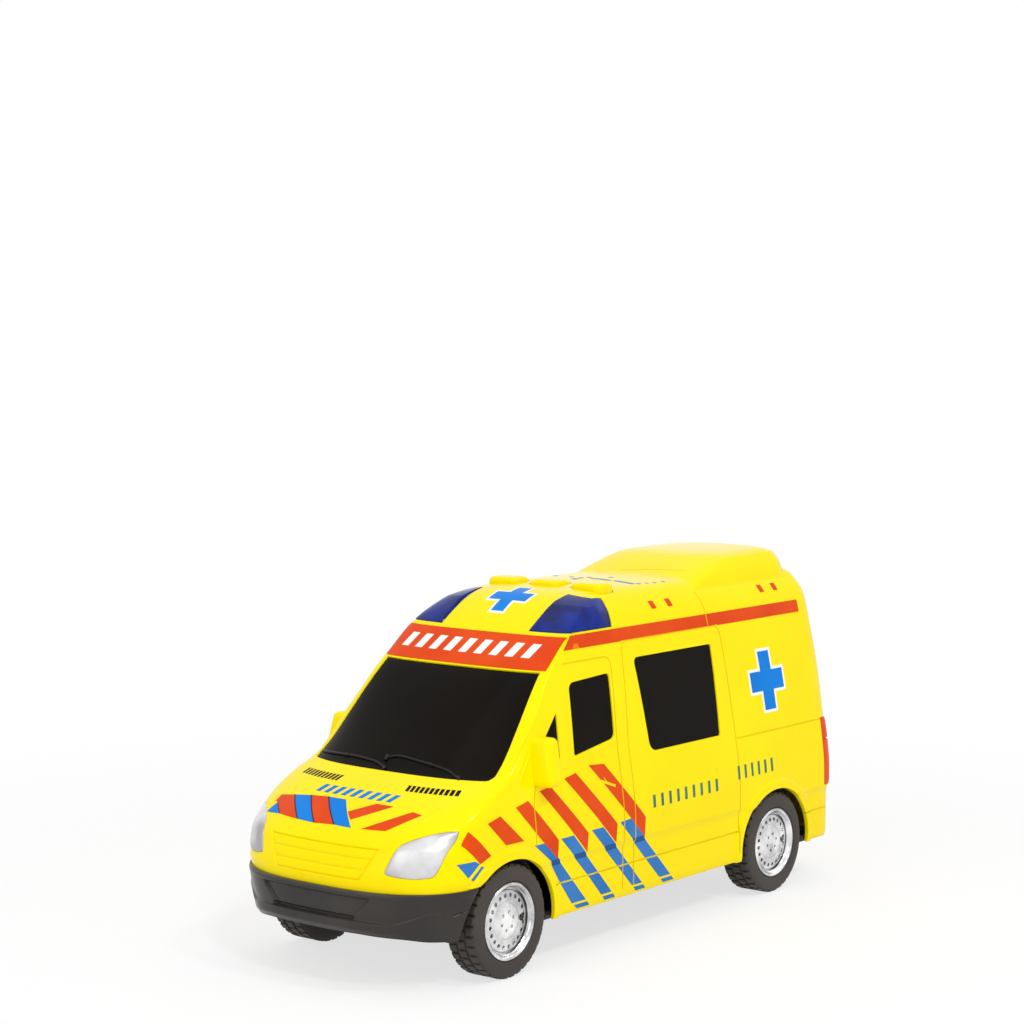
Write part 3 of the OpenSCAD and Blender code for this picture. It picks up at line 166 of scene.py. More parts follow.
def flankT(x, z):
    a, b = noseX(z) - noseDepth(z), tailX(z) + van["tailRound"]
    onNose = np.arccos(np.clip(1 - (noseX(z) - x) / noseDepth(z), 0, 1)) / rightAngle
    onTail = 3 - np.arccos(np.clip(1 - (x - tailX(z)) / van["tailRound"], 0, 1)) / rightAngle
    return np.where(x > a, onNose, np.where(x < b, onTail, 1 + (a - x) / (a - b)))


# Places on the skin: (x, z) on the left flank, (y, z) on nose and tail, (x, y) on the roof
def onFlank(p, off):
    return skinOff(flankT(p[:, 0], p[:, 1]), p[:, 1], off)


def onNose(p, off):
    return skinOff(noseT(p[:, 0], p[:, 1]), p[:, 1], off)


def onTop(p, off, low, high, nose, deep, wide, power, rounds=40):
    lo, hi = np.full(len(p), low), np.full(len(p), high)
    for _ in range(rounds):  # the highest level whose ring still holds the point
        mid = (lo + hi) / 2
        a = nose(mid) - p[:, 0]
        c = np.clip(a / deep(mid), 0, 1)
        reach = wide(mid) * np.where(a > 0, np.sin(np.arccos(1 - c)) ** (2 / power), 0)
        inside = (a > 0) & (np.abs(p[:, 1]) < reach)
        lo, hi = np.where(inside, mid, lo), np.where(inside, hi, mid)
    return np.stack([p[:, 0], p[:, 1], lo + off], -1)


def onRoof(p, off):
    return onTop(p, off, height(0.85), van["roof"], noseX, noseDepth, halfW, van["nosePower"])


def weld(obj):
    bm = bmesh.new()
    bm.from_mesh(obj.data)
    bmesh.ops.remove_doubles(bm, verts=bm.verts, dist=1e-7)
    bmesh.ops.recalc_face_normals(bm, faces=bm.faces)
    bm.to_mesh(obj.data)
    bm.free()
    return obj


def makeObject(name, points, faces, outward=False, edges=()):
    mesh = bpy.data.meshes.new(name)
    mesh.from_pydata((np.asarray(points, float).reshape(-1, 3) * mm).tolist(), list(edges), faces)
    obj = bpy.data.objects.new(name, mesh)
    scene.collection.objects.link(obj)
    return weld(obj) if outward else obj


def fromBmesh(name, bm):
    obj = makeObject(name, np.zeros((0, 3)), [])
    bm.to_mesh(obj.data)
    bm.free()
    return obj


def loft(name, rings):
    rings = np.asarray(rings)
    levels, n = rings.shape[:2]
    a = np.arange(levels - 1)[:, None] * n + np.arange(n)
    b = np.arange(levels - 1)[:, None] * n + (np.arange(n) + 1) % n
    faces = np.stack([a, b, b + n, a + n], -1).reshape(-1, 4).tolist()
    return makeObject(name, rings, faces + [list(range(n))[::-1], list(range((levels - 1) * n, levels * n))])


def plate(name, place, nu, nv, front, back):
    u, v = np.meshgrid(np.linspace(0, 1, nu + 1), np.linspace(0, 1, nv + 1))
    layers = [place(u, v, off(u, v) if callable(off) else np.full_like(u, off)) for off in (front, back)]
    row, count = nu + 1, u.size
    i = (np.arange(nv)[:, None] * row + np.arange(nu)).ravel()
    quads = np.stack([i, i + 1, i + row + 1, i + row], 1)
    rim = [*range(nu), *(j * row + nu for j in range(nv)), *(nv * row + k for k in range(nu, 0, -1)),
           *(j * row for j in range(nv, 0, -1))]
    faces = quads.tolist() + (quads[:, ::-1] + count).tolist()
    faces += [[b, a, a + count, b + count] for a, b in zip(rim, rim[1:] + rim[:1])]
    return makeObject(name, np.concatenate([p.reshape(-1, 3) for p in layers]), faces, True)


# A flat outline laid on the skin as a thin closed sheet; gaps are bands (from, to, width) left open
def skinSheet(name, outlines, place, front, back, cell, gaps=(), levels=()):
    bm = bmesh.new()
    for points in outlines:
        bm.faces.new([bm.verts.new((p[0], p[1], 0)) for p in points]).normal_update()
    bmesh.ops.triangulate(bm, faces=bm.faces[:])

    def split(at, way):
        bmesh.ops.bisect_plane(bm, geom=bm.verts[:] + bm.edges[:] + bm.faces[:], dist=1e-5,
                               plane_co=(*at, 0), plane_no=(*way, 0))
    flat = np.array([v.co.xy for v in bm.verts])
    for axis, way in ((0, (1, 0)), (1, (0, 1))):
        cuts = np.arange(flat[:, axis].min() + cell / 2, flat[:, axis].max(), cell)
        for at in [*cuts, *(levels if axis else ())]:
            split((at, at), way)
    for a, b, w in gaps:
        a, b = np.array(a, float), np.array(b, float)
        run = np.linalg.norm(b - a)
        d, n = (b - a) / run, np.array([a[1] - b[1], b[0] - a[0]]) / run
        for side in (-1, 1):
            split(a + side * w / 2 * n, n)
        lost = [f for f in bm.faces if abs(np.dot(np.array(f.calc_center_median().xy) - a, n)) < w / 2
                and 0 < np.dot(np.array(f.calc_center_median().xy) - a, d) < run]
        bmesh.ops.delete(bm, geom=lost, context="FACES")
    bmesh.ops.remove_doubles(bm, verts=bm.verts, dist=1e-5)
    bm.verts.index_update()
    flat = np.array([v.co.xy for v in bm.verts])
    n = len(flat)
    tops = [[v.index for v in f.verts] for f in bm.faces]
    rims = [[v.index for v in e.verts] for e in bm.edges if len(e.link_faces) == 1]
    bm.free()
    faces = tops + [[i + n for i in f[::-1]] for f in tops] + [[a, b, b + n, a + n] for a, b in rims]
    sheets = [place(flat, off(flat) if callable(off) else np.full(n, off)) for off in (front, back)]
    return makeObject(name, np.concatenate(sheets), faces, True)


def roundedOutline(points, radii, grow=0.0, steps=8):
    pts = np.array(points, float)
    n = len(pts)
    area = sum(pts[i - 1][0] * pts[i][1] - pts[i][0] * pts[i - 1][1] for i in range(n))
    turn = 1 if area > 0 else -1
    edges = []
    for i in range(n):
        d = pts[(i + 1) % n] - pts[i]
        d /= np.linalg.norm(d)
        edges.append((pts[i] + turn * grow * np.array([d[1], -d[0]]), d))
    corners = []
    for i in range(n):
        (p, d), (q, e) = edges[i - 1], edges[i]
        s = np.linalg.solve(np.array([d, -e]).T, q - p)
        corners.append(p + s[0] * d)
    out = []
    for i in range(n):
        c, d, e = corners[i], edges[i - 1][1], edges[i][1]
        half = math.acos(np.clip(np.dot(-d, e), -1, 1)) / 2
        r = radii[i] if isinstance(radii, (list, tuple)) else radii
        cut = r / math.tan(half)
        a, b = c - d * cut, c + e * cut
        mid = c + (e - d) / np.linalg.norm(e - d) * r / math.sin(half)
        for k in range(steps + 1):
            s = k / steps
            w = (a - mid) * math.cos(s * rightAngle) + (b - mid) * math.sin(s * rightAngle)
            out.append(mid + w / np.linalg.norm(w) * r)
    return out


def box(x, y, a, b, *level):
    return [(x - a, y - b, *level), (x + a, y - b, *level), (x + a, y + b, *level), (x - a, y + b, *level)]


def circle(x, y, r, steps, stretch=1.0):
    a = np.linspace(0, 2 * math.pi, steps, endpoint=False)
    return np.stack([x + r * stretch * np.cos(a), y + r * np.sin(a)], -1)


def prism(name, points, lo, hi, axis):
    order = {"x": (2, 0, 1), "y": (0, 2, 1), "z": (0, 1, 2)}[axis]
    n = len(points)
    layers = np.array([[(p[0], p[1], d) for p in points] for d in (lo, hi)]).reshape(-1, 3)[:, order]
    faces = [list(range(n)), [i + n for i in range(n)][::-1]]
    faces += [[i, i + n, (i + 1) % n + n, (i + 1) % n] for i in range(n)]
    return makeObject(name, layers, faces, True)


def mirrored(obj, name):
    twin = bpy.data.objects.new(name, obj.data.copy())
    scene.collection.objects.link(twin)
    for v in twin.data.vertices:
        v.co.y = -v.co.y
    twin.data.flip_normals()
    return twin


def carve(obj, others, how="DIFFERENCE"):
    group = bpy.data.collections.new("tools")
    scene.collection.children.link(group)
    for o in others:
        group.objects.link(o)
    mod = obj.modifiers.new("carve", "BOOLEAN")
    mod.operation, mod.solver, mod.operand_type, mod.collection = how, "MANIFOLD", "COLLECTION", group
    made = bpy.data.meshes.new_from_object(obj.evaluated_get(bpy.context.evaluated_depsgraph_get()))
    obj.modifiers.clear()
    old, obj.data = obj.data, made
    bpy.data.meshes.remove(old)
    for o in others:
        bpy.data.meshes.remove(o.data)
    bpy.data.collections.remove(group)
    return obj


def joined(obj, others):
    bm = bmesh.new()
    for o in [obj, *others]:
        bm.from_mesh(o.data)
    bm.to_mesh(obj.data)
    bm.free()
    for o in others:
        bpy.data.meshes.remove(o.data)
    return obj


def shade(obj, degrees):
    obj.data.polygons.foreach_set("use_smooth", [True] * len(obj.data.polygons))
    obj.data.set_sharp_from_angle(angle=math.radians(degrees))
    return obj


def settle(obj, material, body="van", nodes=(), degrees=35):
    shade(obj, degrees)
    obj.data.materials.clear()
    obj.data.materials.append(material)
    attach(obj, body)
    if nodes:
        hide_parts(*nodes)
    return obj


def settlePair(left, stem, material, node, degrees=35):
    settle(mirrored(left, stem + "Right"), material, nodes=[node + "_right"], degrees=degrees)
    settle(left, material, nodes=[node + "_left"], degrees=degrees)


# Camera at the photograph's angle
cameraSet = {"place": (0.57803, 0.4544, 0.17853), "look": (0.01622, 0.0, 0.12505), "roll": -0.0017,
             "lens": 85.23, "sensor": 36, "clip": (0.05, 50)}
camera = bpy.data.objects.new("camera", bpy.data.cameras.new("camera"))
scene.collection.objects.link(camera)
scene.camera = camera
camera.data.lens, camera.data.sensor_width = cameraSet["lens"], cameraSet["sensor"]
camera.location = cameraSet["place"]
aim = (Vector(cameraSet["look"]) - camera.location).to_track_quat("-Z", "Y")
camera.rotation_mode = "QUATERNION"
camera.rotation_quaternion = aim @ Quaternion((0, 0, 1), cameraSet["roll"])
camera.data.clip_start, camera.data.clip_end = cameraSet["clip"]
print("camera set")


# Nodes: inputs by place or by name, each a plain value or a socket to link from
def addNode(tree, kind, *inputs, make=(), **named):
    node = tree.nodes.new(kind)
    for key, value in dict(make).items():
        setattr(node, key, value)
    for key, value in (*enumerate(inputs), *((k.replace("_", " "), v) for k, v in named.items())):
        if isinstance(value, bpy.types.NodeSocket):
            tree.links.new(value, node.inputs[key])
        elif value is not None:
            node.inputs[key].default_value = value
    return node


def mathNode(tree, operation, *inputs):
    return addNode(tree, "ShaderNodeMath", *inputs, make={"operation": operation}).outputs[0]


# Finishes
grainSet = {"ramp": (0.35, 0.65), "cloudDetail": 4, "pitDetail": 3, "fleckDetail": 5, "pitDepth": 0.0004,
            "bevelRays": 6}


def srgb(colour):
    return (*(((c / 255 + 0.055) / 1.055) ** 2.4 if c > 10 else c / 255 / 12.92 for c in colour), 1.0)


def noise(tree, place, scale, detail):
    return addNode(tree, "ShaderNodeTexNoise", Vector=place, Scale=scale, Detail=detail).outputs["Fac"]


def blended(tree, share, paint, colour):
    both = addNode(tree, "ShaderNodeMix", make={"data_type": "RGBA"}, Factor=share, A=paint, B=srgb(colour))
    return both.outputs["Result"]


def makeFinish(name, colour, other, roughness, grain=60.0, bump=0.02, edge=0.0, bumpScale=900.0, worn=None,
               band=None, **sockets):
    mat = bpy.data.materials.new(name)
    mat.use_nodes = True
    tree = mat.node_tree
    place = addNode(tree, "ShaderNodeTexCoord").outputs["Object"]
    cloud = noise(tree, place, grain, grainSet["cloudDetail"])
    tint = addNode(tree, "ShaderNodeValToRGB", cloud)
    for stop, at, tone in zip(tint.color_ramp.elements, grainSet["ramp"], (colour, other)):
        stop.position, stop.color = at, srgb(tone)
    paint = tint.outputs["Color"]
    if worn:  # rubbed thin in flecks round one place
        centre = [c * mm for c in worn["place"]]
        far = addNode(tree, "ShaderNodeVectorMath", place, centre, make={"operation": "DISTANCE"})
        near = addNode(tree, "ShaderNodeMapRange", Value=far.outputs["Value"], From_Max=worn["radius"] * mm,
                       To_Min=worn["share"], To_Max=0)
        flecks = noise(tree, place, worn["scale"], grainSet["fleckDetail"])
        thin = mathNode(tree, "LESS_THAN", flecks, near.outputs["Result"])
        paint = blended(tree, thin, paint, worn["colour"])
    # The band tint is painted shade, darker between two levels
    if band:  # another tint between two levels
        level = addNode(tree, "ShaderNodeSeparateXYZ", place).outputs["Z"]
        middle, half = (band["low"] + band["high"]) / 2 * mm, (band["high"] - band["low"]) / 2 * mm
        paint = blended(tree, mathNode(tree, "COMPARE", level, middle, half), paint, band["colour"])
    gloss = addNode(tree, "ShaderNodeMapRange", Value=cloud, To_Min=roughness[0], To_Max=roughness[1])
    soft = None
    if edge:
        bevel = addNode(tree, "ShaderNodeBevel", make={"samples": grainSet["bevelRays"]}, Radius=edge * mm)
        soft = bevel.outputs["Normal"]
    relief = addNode(tree, "ShaderNodeBump", Strength=bump, Distance=grainSet["pitDepth"], Normal=soft,
                     Height=noise(tree, place, bumpScale, grainSet["pitDetail"]))
    shader = tree.nodes["Principled BSDF"]
    tree.links.new(paint, shader.inputs["Base Color"])
    tree.links.new(gloss.outputs["Result"], shader.inputs["Roughness"])
    tree.links.new(relief.outputs["Normal"], shader.inputs["Normal"])
    for key, value in sockets.items():
        shader.inputs[key.replace("_", " ")].default_value = value
    return mat


def makePrint(name, colour, other, roughness=(0.25, 0.4), **more):
    return makeFinish(name, colour, other, roughness, Specular_IOR_Level=0.08, **more)


yellowShell = makeFinish("yellowShell", (255, 232, 0), (254, 227, 0), (0.1, 0.17), 35, 0.02, 0.35, 500,
                         Specular_IOR_Level=0.08)
blackTrim = makeFinish("blackTrim", (45, 41, 39), (55, 51, 48), (0.2, 0.3), 50, 0.04, 0.25,
                       Specular_IOR_Level=0.3)
wiperBlack = makeFinish("wiperBlack", (20, 17, 15), (28, 24, 21), (0.12, 0.2), 50, 0.03, 0.2,
                        Specular_IOR_Level=0.15)
darkPane = makeFinish("darkPane", (16, 12, 9), (21, 17, 13), (0.08, 0.14), 30, 0.02, 0.2,
                      Specular_IOR_Level=0.04)
silverPaint = makeFinish("silverPaint", (166, 164, 166), (244, 243, 244), (0.25, 0.38), 55, 0.04, 0.3,
                         Metallic=0.35)
blueLens = makeFinish("blueLens", (2, 20, 84), (6, 40, 142), (0.06, 0.12), 130, 0.04, 0.2,
                      Transmission_Weight=0.05, Specular_IOR_Level=0.1, Coat_Weight=0.03)
redLens = makeFinish("redLens", (214, 62, 8), (226, 78, 16), (0.15, 0.25), 60, 0.03, 0.3,
                     Coat_Weight=0.2, Specular_IOR_Level=0.2)
# The plating's mottled light and grey tone is painted reflection
platedRim = makeFinish("platedRim", (184, 183, 184), (250, 250, 251), (0.12, 0.22), 150, 0.03, 0.15,
                       Metallic=0.9)
tyreBlack = makeFinish("tyreBlack", (62, 57, 54), (72, 67, 63), (0.5, 0.65), 60, 0.12, 0.25,
                       Specular_IOR_Level=0.25)
stripeWear = {"place": (24.0, 30.4, 87.6), "radius": 12.0, "share": 0.5, "scale": 420,
              "colour": (238, 126, 24)}
# Painted shade: darker blue on the blue bars where the flank steps in
stepPaintedShade = {"low": 28.4, "high": 30.2, "colour": (14, 82, 152)}
redPrint = makePrint("redPrint", (218, 66, 12), (226, 78, 18), worn=stripeWear)
bluePrintAndShade = makePrint("bluePrintAndShade", (46, 114, 186), (60, 126, 198), band=stepPaintedShade)
brightBluePrint = makePrint("brightBluePrint", (0, 120, 214), (10, 132, 224))
tealPrint = makePrint("tealPrint", (58, 112, 104), (72, 126, 112))
whitePrint = makePrint("whitePrint", (244, 244, 242), (250, 250, 248), (0.3, 0.45))
darkPrint = makePrint("darkPrint", (70, 40, 45), (84, 48, 52), (0.3, 0.45))
steelPin = makeFinish("steelPin", (186, 188, 190), (205, 206, 208), (0.2, 0.35), 90, 0.03, 0.1, Metallic=1.0)
greenBoard = makeFinish("greenBoard", (36, 96, 52), (48, 118, 64), (0.35, 0.5), 120, 0.03, 0.1)
whiteGear = makeFinish("whiteGear", (228, 224, 210), (236, 233, 222), (0.35, 0.5), 70, 0.03, 0.1)
domeRubber = makeFinish("domeRubber", (190, 190, 186), (204, 204, 200), (0.55, 0.7), 70, 0.06, 0.1)
wireSleeve = makeFinish("wireSleeve", (170, 30, 26), (188, 42, 34), (0.4, 0.55), 90, 0.04, 0.1)
clearLamp = makeFinish("clearLamp", (226, 236, 240), (240, 246, 248), (0.08, 0.15), 70, 0.02, 0.1,
                       Transmission_Weight=0.7)
print("finishes made")


# Geometry Nodes: a tree with named inputs, whose result becomes a plain mesh
def startTree(name, **kinds):
    tree = bpy.data.node_groups.new(name, "GeometryNodeTree")
    for key, kind in (("Geometry", "Geometry"), *kinds.items(), ("Finish", "Material")):
        tree.interface.new_socket(key.replace("_", " "), in_out="INPUT", socket_type="NodeSocket" + kind)
    tree.interface.new_socket("Geometry", in_out="OUTPUT", socket_type="NodeSocketGeometry")
    return tree, tree.nodes.new("NodeGroupInput").outputs


def endTree(tree, given, geometry):
    real = addNode(tree, "GeometryNodeRealizeInstances", Geometry=geometry)
    paint = addNode(tree, "GeometryNodeSetMaterial", Geometry=real.outputs["Geometry"],
                    Material=given["Finish"])
    addNode(tree, "NodeGroupOutput", Geometry=paint.outputs["Geometry"])
    return tree


def grown(obj, tree, **values):
    mod = obj.modifiers.new("grow", "NODES")
    mod.node_group = tree
    ids = {s.name: s.identifier for s in tree.interface.items_tree if s.in_out == "INPUT"}
    for name, value in values.items():
        mod[ids[name.replace("_", " ")]] = value
    made = bpy.data.meshes.new_from_object(obj.evaluated_get(bpy.context.evaluated_depsgraph_get()))
    obj.modifiers.clear()
    obj.data = made
    return obj


def ringTree():  # copies of a shape turned round an axle
    tree, given = startTree("copiesRoundAxle", Count="Int", First_Angle="Float", Centre="Vector")
    line = addNode(tree, "GeometryNodeMeshLine", Offset=(0, 0, 0), Count=given["Count"])
    index = addNode(tree, "GeometryNodeInputIndex").outputs[0]
    step = mathNode(tree, "DIVIDE", 2 * math.pi, given["Count"])
    angle = mathNode(tree, "MULTIPLY_ADD", index, step, given["First Angle"])
    turn = addNode(tree, "ShaderNodeCombineXYZ", Y=angle).outputs[0]
    copies = addNode(tree, "GeometryNodeInstanceOnPoints", Points=line.outputs["Mesh"],
                     Instance=given["Geometry"], Rotation=turn)
    move = addNode(tree, "GeometryNodeTransform", Geometry=copies.outputs["Instances"],
                   Translation=given["Centre"])
    return endTree(tree, given, move.outputs["Geometry"])


def rodTree():  # a round rod along a path
    tree, given = startTree("rodAlongPath", Radius="Float", Sides="Int")
    path = addNode(tree, "GeometryNodeMeshToCurve", Mesh=given["Geometry"])
    section = addNode(tree, "GeometryNodeCurvePrimitiveCircle", Radius=given["Radius"],
                      Resolution=given["Sides"])
    swept = addNode(tree, "GeometryNodeCurveToMesh", Fill_Caps=True, Curve=path.outputs["Curve"],
                    Profile_Curve=section.outputs["Curve"])
    return endTree(tree, given, swept.outputs["Mesh"])


roundAxle, alongPath = ringTree(), rodTree()


def copiesRound(obj, count, first, centre, material):
    centre = [c * mm for c in centre]
    return grown(obj, roundAxle, Count=count, First_Angle=first, Centre=centre, Finish=material)


def rod(name, points, radius, material, sides=12):
    path = makeObject(name, points, [], edges=[(i, i + 1) for i in range(len(points) - 1)])
    return weld(grown(path, alongPath, Radius=radius * mm, Sides=sides, Finish=material))


# Body: outer form, fairing and arch lips, hollowed and cut
shell = {
    "steps": (46, 36, 18), "levelStep": 0.8, "innerSteps": (16, 8, 8), "innerStep": 2.4,  # nose, flank, tail
    "samples": 4001, "spacedAt": 45.0, "levelSamples": 6001,
    "fairing": {"base": .955, "top": 108.0, "round": 9.0, "power": 3.0, "step": 0.6, "innerStep": 1.2,
                "halfWidth": [(0, .632), (.3, .618), (.82, .54), (.92, .48), (.97, .4), (1, .25)],
                "front": [(0, .335), (.33, .295), (.82, .225), (.92, .205), (.97, .18), (1, .14)],
                "rear": [(0, .012), (.82, .017), (.92, .022), (.97, .03), (1, .045)]},
    "axles": (65.0, -69.0), "axleZ": 16.0, "archR": 17.5, "archStretch": 1.1, "archIn": 28.4,
    "archSteps": 96, "archEdge": 38.0, "archUnder": 2.2,
    "lipIn": 1.0, "lipWidth": 3.6, "lipRise": 0.7, "lipSunk": 0.15, "lipFade": 0.68, "lipSeat": 1.0,
    "lipCells": (72, 14), "ridgePoints": 25,
    "lipLow": (28.4, van["sill"] + .01), "ridgeR": 0.7, "ridgeRise": 0.36, "ridgeSunk": 0.02,
    "pillarRidges": [((45.9, 72.9), (61.9, 56.3)), ((52.5, 61.3), (62.8, 49.5))],
    "bonnetRidges": [((29.2, 49.7), (25.8, 44.6)), ((23.5, 41.6), (21.3, 38.9))],
    "noseCut": [(83.5, 12), (120, 12), (120, 18.6), (104.9, 16.95), (84, 14.95), (83.5, 14.95)],
}


def runOf(points):  # length along a row of points
    return np.concatenate([[0], np.cumsum(np.linalg.norm(np.diff(points, axis=0), axis=1))])


def stationsOf(*counts):
    half = []
    for lo, steps in enumerate(counts):
        t = np.linspace(lo, lo + 1, shell["samples"])
        run = runOf(skin(t, np.full(len(t), shell["spacedAt"])))
        half.append(np.interp(np.linspace(0, run[-1], steps + 1), run, t)[:-1])
    half = np.concatenate([*half, [3.0]])
    return np.concatenate([half, -half[-2:0:-1]])


def evenLevels(lo, hi, step, *paths):
    z = np.linspace(lo, hi, shell["levelSamples"])
    move = np.max([np.abs(np.diff(path(z))) for path in (lambda q: q, *paths)], axis=0)
    run = np.concatenate([[0], np.cumsum(move)])
    return np.interp(np.linspace(0, run[-1], int(run[-1] / step) + 1), run, z)


def vanForm(name, depth, stations, step):
    lo = van["sill"] - (1 if depth else 0)
    hi = van["roof"] - depth
    levels = evenLevels(lo, hi, step, lambda z: noseX(z + depth), lambda z: halfW(z + depth))
    return loft(name, skinIn(stations[None, :], levels[:, None], depth))


def fairingAt(key, z):
    f = shell["fairing"]
    return curve(f[key], (z - height(f["base"])) / (f["top"] - height(f["base"])))


def fairingX(key, z):
    return rearX + van["length"] * fairingAt(key, z)


def fairingW(z):
    return halfBody * fairingAt("halfWidth", z)


def fairingForm(name, depth, stations, step):
    f = shell["fairing"]
    levels = evenLevels(height(f["base"]), f["top"] - depth, step, lambda z: fairingX("front", z + depth),
                        lambda z: fairingW(z + depth))
    z, t = levels[:, None], stations[None, :]
    nose, tail = fairingX("front", z + depth) - depth, fairingX("rear", z + depth) + depth
    r = np.minimum(f["round"], 0.49 * (nose - tail))
    x, y = outline(t, nose, tail, fairingW(z + depth) - depth, r, r, f["power"], f["power"])
    return loft(name, np.stack([x, y, z + 0 * x], -1))


def onFairing(p, off):
    f = shell["fairing"]
    return onTop(p, off, height(f["base"]), f["top"], lambda z: fairingX("front", z),
                 lambda z: np.full_like(z, f["round"]), fairingW, f["power"])


def archLip(name, x, low):
    def place(u, v, off):
        r = shell["archR"] + mix(-shell["lipIn"], shell["lipWidth"], v)
        first = np.arcsin((low - shell["axleZ"]) / r)
        last = math.pi + np.arcsin((shell["axleZ"] - van["sill"] - .01) / r)
        a = mix(first, last, u)
        z = shell["axleZ"] + r * np.sin(a)
        return skinOff(flankT(x + r * shell["archStretch"] * np.cos(a), z), z, off)

    def rise(u, v):
        return shell["lipRise"] - (shell["lipRise"] + shell["lipSunk"]) * smooth(shell["lipFade"], 1, v)
    return plate(name, place, *shell["lipCells"], rise, -shell["lipSeat"])


def ridge(ends, place):  # a rod sunk in the skin, deepest at its ends
    s = np.linspace(0, 1, shell["ridgePoints"])
    points = np.array([mix(np.array(ends[0]), np.array(ends[1]), k) for k in s])
    r = shell["ridgeR"]
    lift = shell["ridgeRise"] * np.sin(math.pi * s) ** .5 - r - shell["ridgeSunk"]
    return rod("ridge", place(points, lift), r, yellowShell)


stations = stationsOf(*shell["steps"])
body = vanForm("bodyShell", 0, stations, shell["levelStep"])
lips = [archLip("lip", x, low) for x, low in zip(shell["axles"], shell["lipLow"])]
lips += [ridge(ends, onFlank) for ends in shell["pillarRidges"]]
lips += [mirrored(o, "lip") for o in lips]
lips += [ridge(ends, onNose) for ends in shell["bonnetRidges"]]
carve(body, [fairingForm("fairing", 0, stations, shell["fairing"]["step"]), *lips], "UNION")
innerStations = stationsOf(*shell["innerSteps"])
carve(body, [vanForm("cavity", van["wall"], innerStations, shell["innerStep"])])
carve(body, [fairingForm("fairingCavity", van["wall"], innerStations, shell["fairing"]["innerStep"])])
print("body form", len(body.data.polygons))

# Windows: corners (x, z) from the front top, with a radius for each corner
windows = {
    "door": ([(along(.352), height(.728)), (along(.446), height(.738)), (along(.437), height(.529)),
              (along(.342), height(.498))], [2.6, 1.2, 2.4, 0.7]),
    "side": ([(along(.508), height(.772)), (along(.702), height(.772)), (along(.692), height(.459)),
              (along(.516), height(.459))], [1.8, 0.8, 0.7, 3.2]),
    "quarter": ([(along(.316), height(.646)), (along(.31), height(.5)), (along(.256), height(.512))],
                [0.3, 0.5, 0.3]),
    "rear": ([(halfBody * .09, height(.5)), (halfBody * .62, height(.5)), (halfBody * .62, height(.77)),
              (halfBody * .09, height(.77))], [1.6, 1.6, 2.6, 1.6]),
    "recess": 0.35, "fit": 0.15, "behind": 0.4, "cell": 2.0, "sideCut": (20, outside), "rearCut": (-112, -96),
}
screen = {"low": height(.468), "high": height(.77), "lowWidth": .905, "highWidth": .917, "corner": .045,
          "rise": 1.1, "wall": 3.0, "cutCells": (90, 30), "cells": (96, 40)}


def screenPlace(grow):
    def place(u, v, off):
        lo, hi = screen["low"] - grow, screen["high"] + grow
        s = 2 * u - 1
        edge = np.maximum(0, (np.abs(s) - 1 + screen["corner"]) / screen["corner"])
        z = mix(lo + screen["rise"] * (1 - np.sqrt(np.maximum(0, 1 - edge ** 2))), hi, v)
        w = mix(screen["lowWidth"], screen["highWidth"], (z - lo) / (hi - lo)) * halfW(z) + grow
        return skinOff(noseT(s * w, z), z, off)
    return place


sideWindows = ("door", "side", "quarter")
cutters = [plate("screenCut", screenPlace(0), *screen["cutCells"], proud, -screen["wall"] - proud)]
leftCuts = [prism("windowCut", roundedOutline(*windows[k]), *windows["sideCut"], "y") for k in sideWindows]
leftCuts.append(prism("rearWindowCut", roundedOutline(*windows["rear"]), *windows["rearCut"], "x"))

# Lamps let into the skin
lamps = {
    "inLow": (.575, .224), "inHigh": (.648, .31), "tip": (.952, .349), "outLow": (.884, .216),
    "bulge": 1.2, "bulgeShare": .4, "corner": .12, "rise": 0.65, "power": 3.2, "edgeSunk": 0.04,
    "seat": 1.2, "seatGap": 0.1, "fit": 0.03, "gap": 0.02,
    "tailLow": height(.194), "tailHigh": height(.441), "tailFront": 1.989, "tailRear": 2.72, "tailWrap": .3,
    "flankMm": 180, "tailPerMm": .14, "tailRise": 0.35, "tailPower": 8, "tailSplit": .69, "splitHalf": 0.012,
    "splitDepth": 0.5, "lensIn": halfBody * .42, "lensLow": height(.882), "lensInHigh": height(.984),
    "lensRearHigh": height(.971), "lensRearLow": along(.473), "lensRearTop": along(.486), "lensRise": 0.9,
    "lensSunk": 0.25, "lensFoot": .35, "lensRidge": .7, "lensBack": .075, "lensFrontEdge": .03,
    "lensProud": 1.2, "cutCells": (40, 24), "tailCut": (20, 24), "cells": (64, 40), "tailCells": (24, 84),
    "lensCells": (80, 50),
}


def rounded(u, v, k):
    a, b = 2 * u - 1, 2 * v - 1
    return (a * np.sqrt(1 - k * b ** 6) + 1) / 2, (b * np.sqrt(1 - k * a ** 6) + 1) / 2


def headlampPlace(grow):
    def place(u, v, off):
        p, q = rounded(u, v, lamps["corner"])
        lo = [mix(a, b, p) for a, b in zip(lamps["inLow"], lamps["outLow"])]
        hi = [mix(a, b, p) for a, b in zip(lamps["inHigh"], lamps["tip"])]
        w, h = mix(lo[0], hi[0], q), mix(lo[1], hi[1], q)
        bow = lamps["bulge"] * 4 * p * (1 - p) * (q - lamps["bulgeShare"])
        z = height(h) + bow + grow * (2 * v - 1)
        return skinOff(noseT(w * halfW(z) + grow * (2 * u - 1), z), z, off)
    return place


def tailLampPlace(grow):
    def place(u, v, off):
        front = lamps["tailFront"] - grow / lamps["flankMm"]
        rear = lamps["tailRear"] + grow * lamps["tailPerMm"]
        t = np.interp(u, [0, lamps["tailWrap"], 1], [front, 2, rear])
        return skinOff(t, mix(lamps["tailLow"] - grow, lamps["tailHigh"] + grow, v), off)
    return place


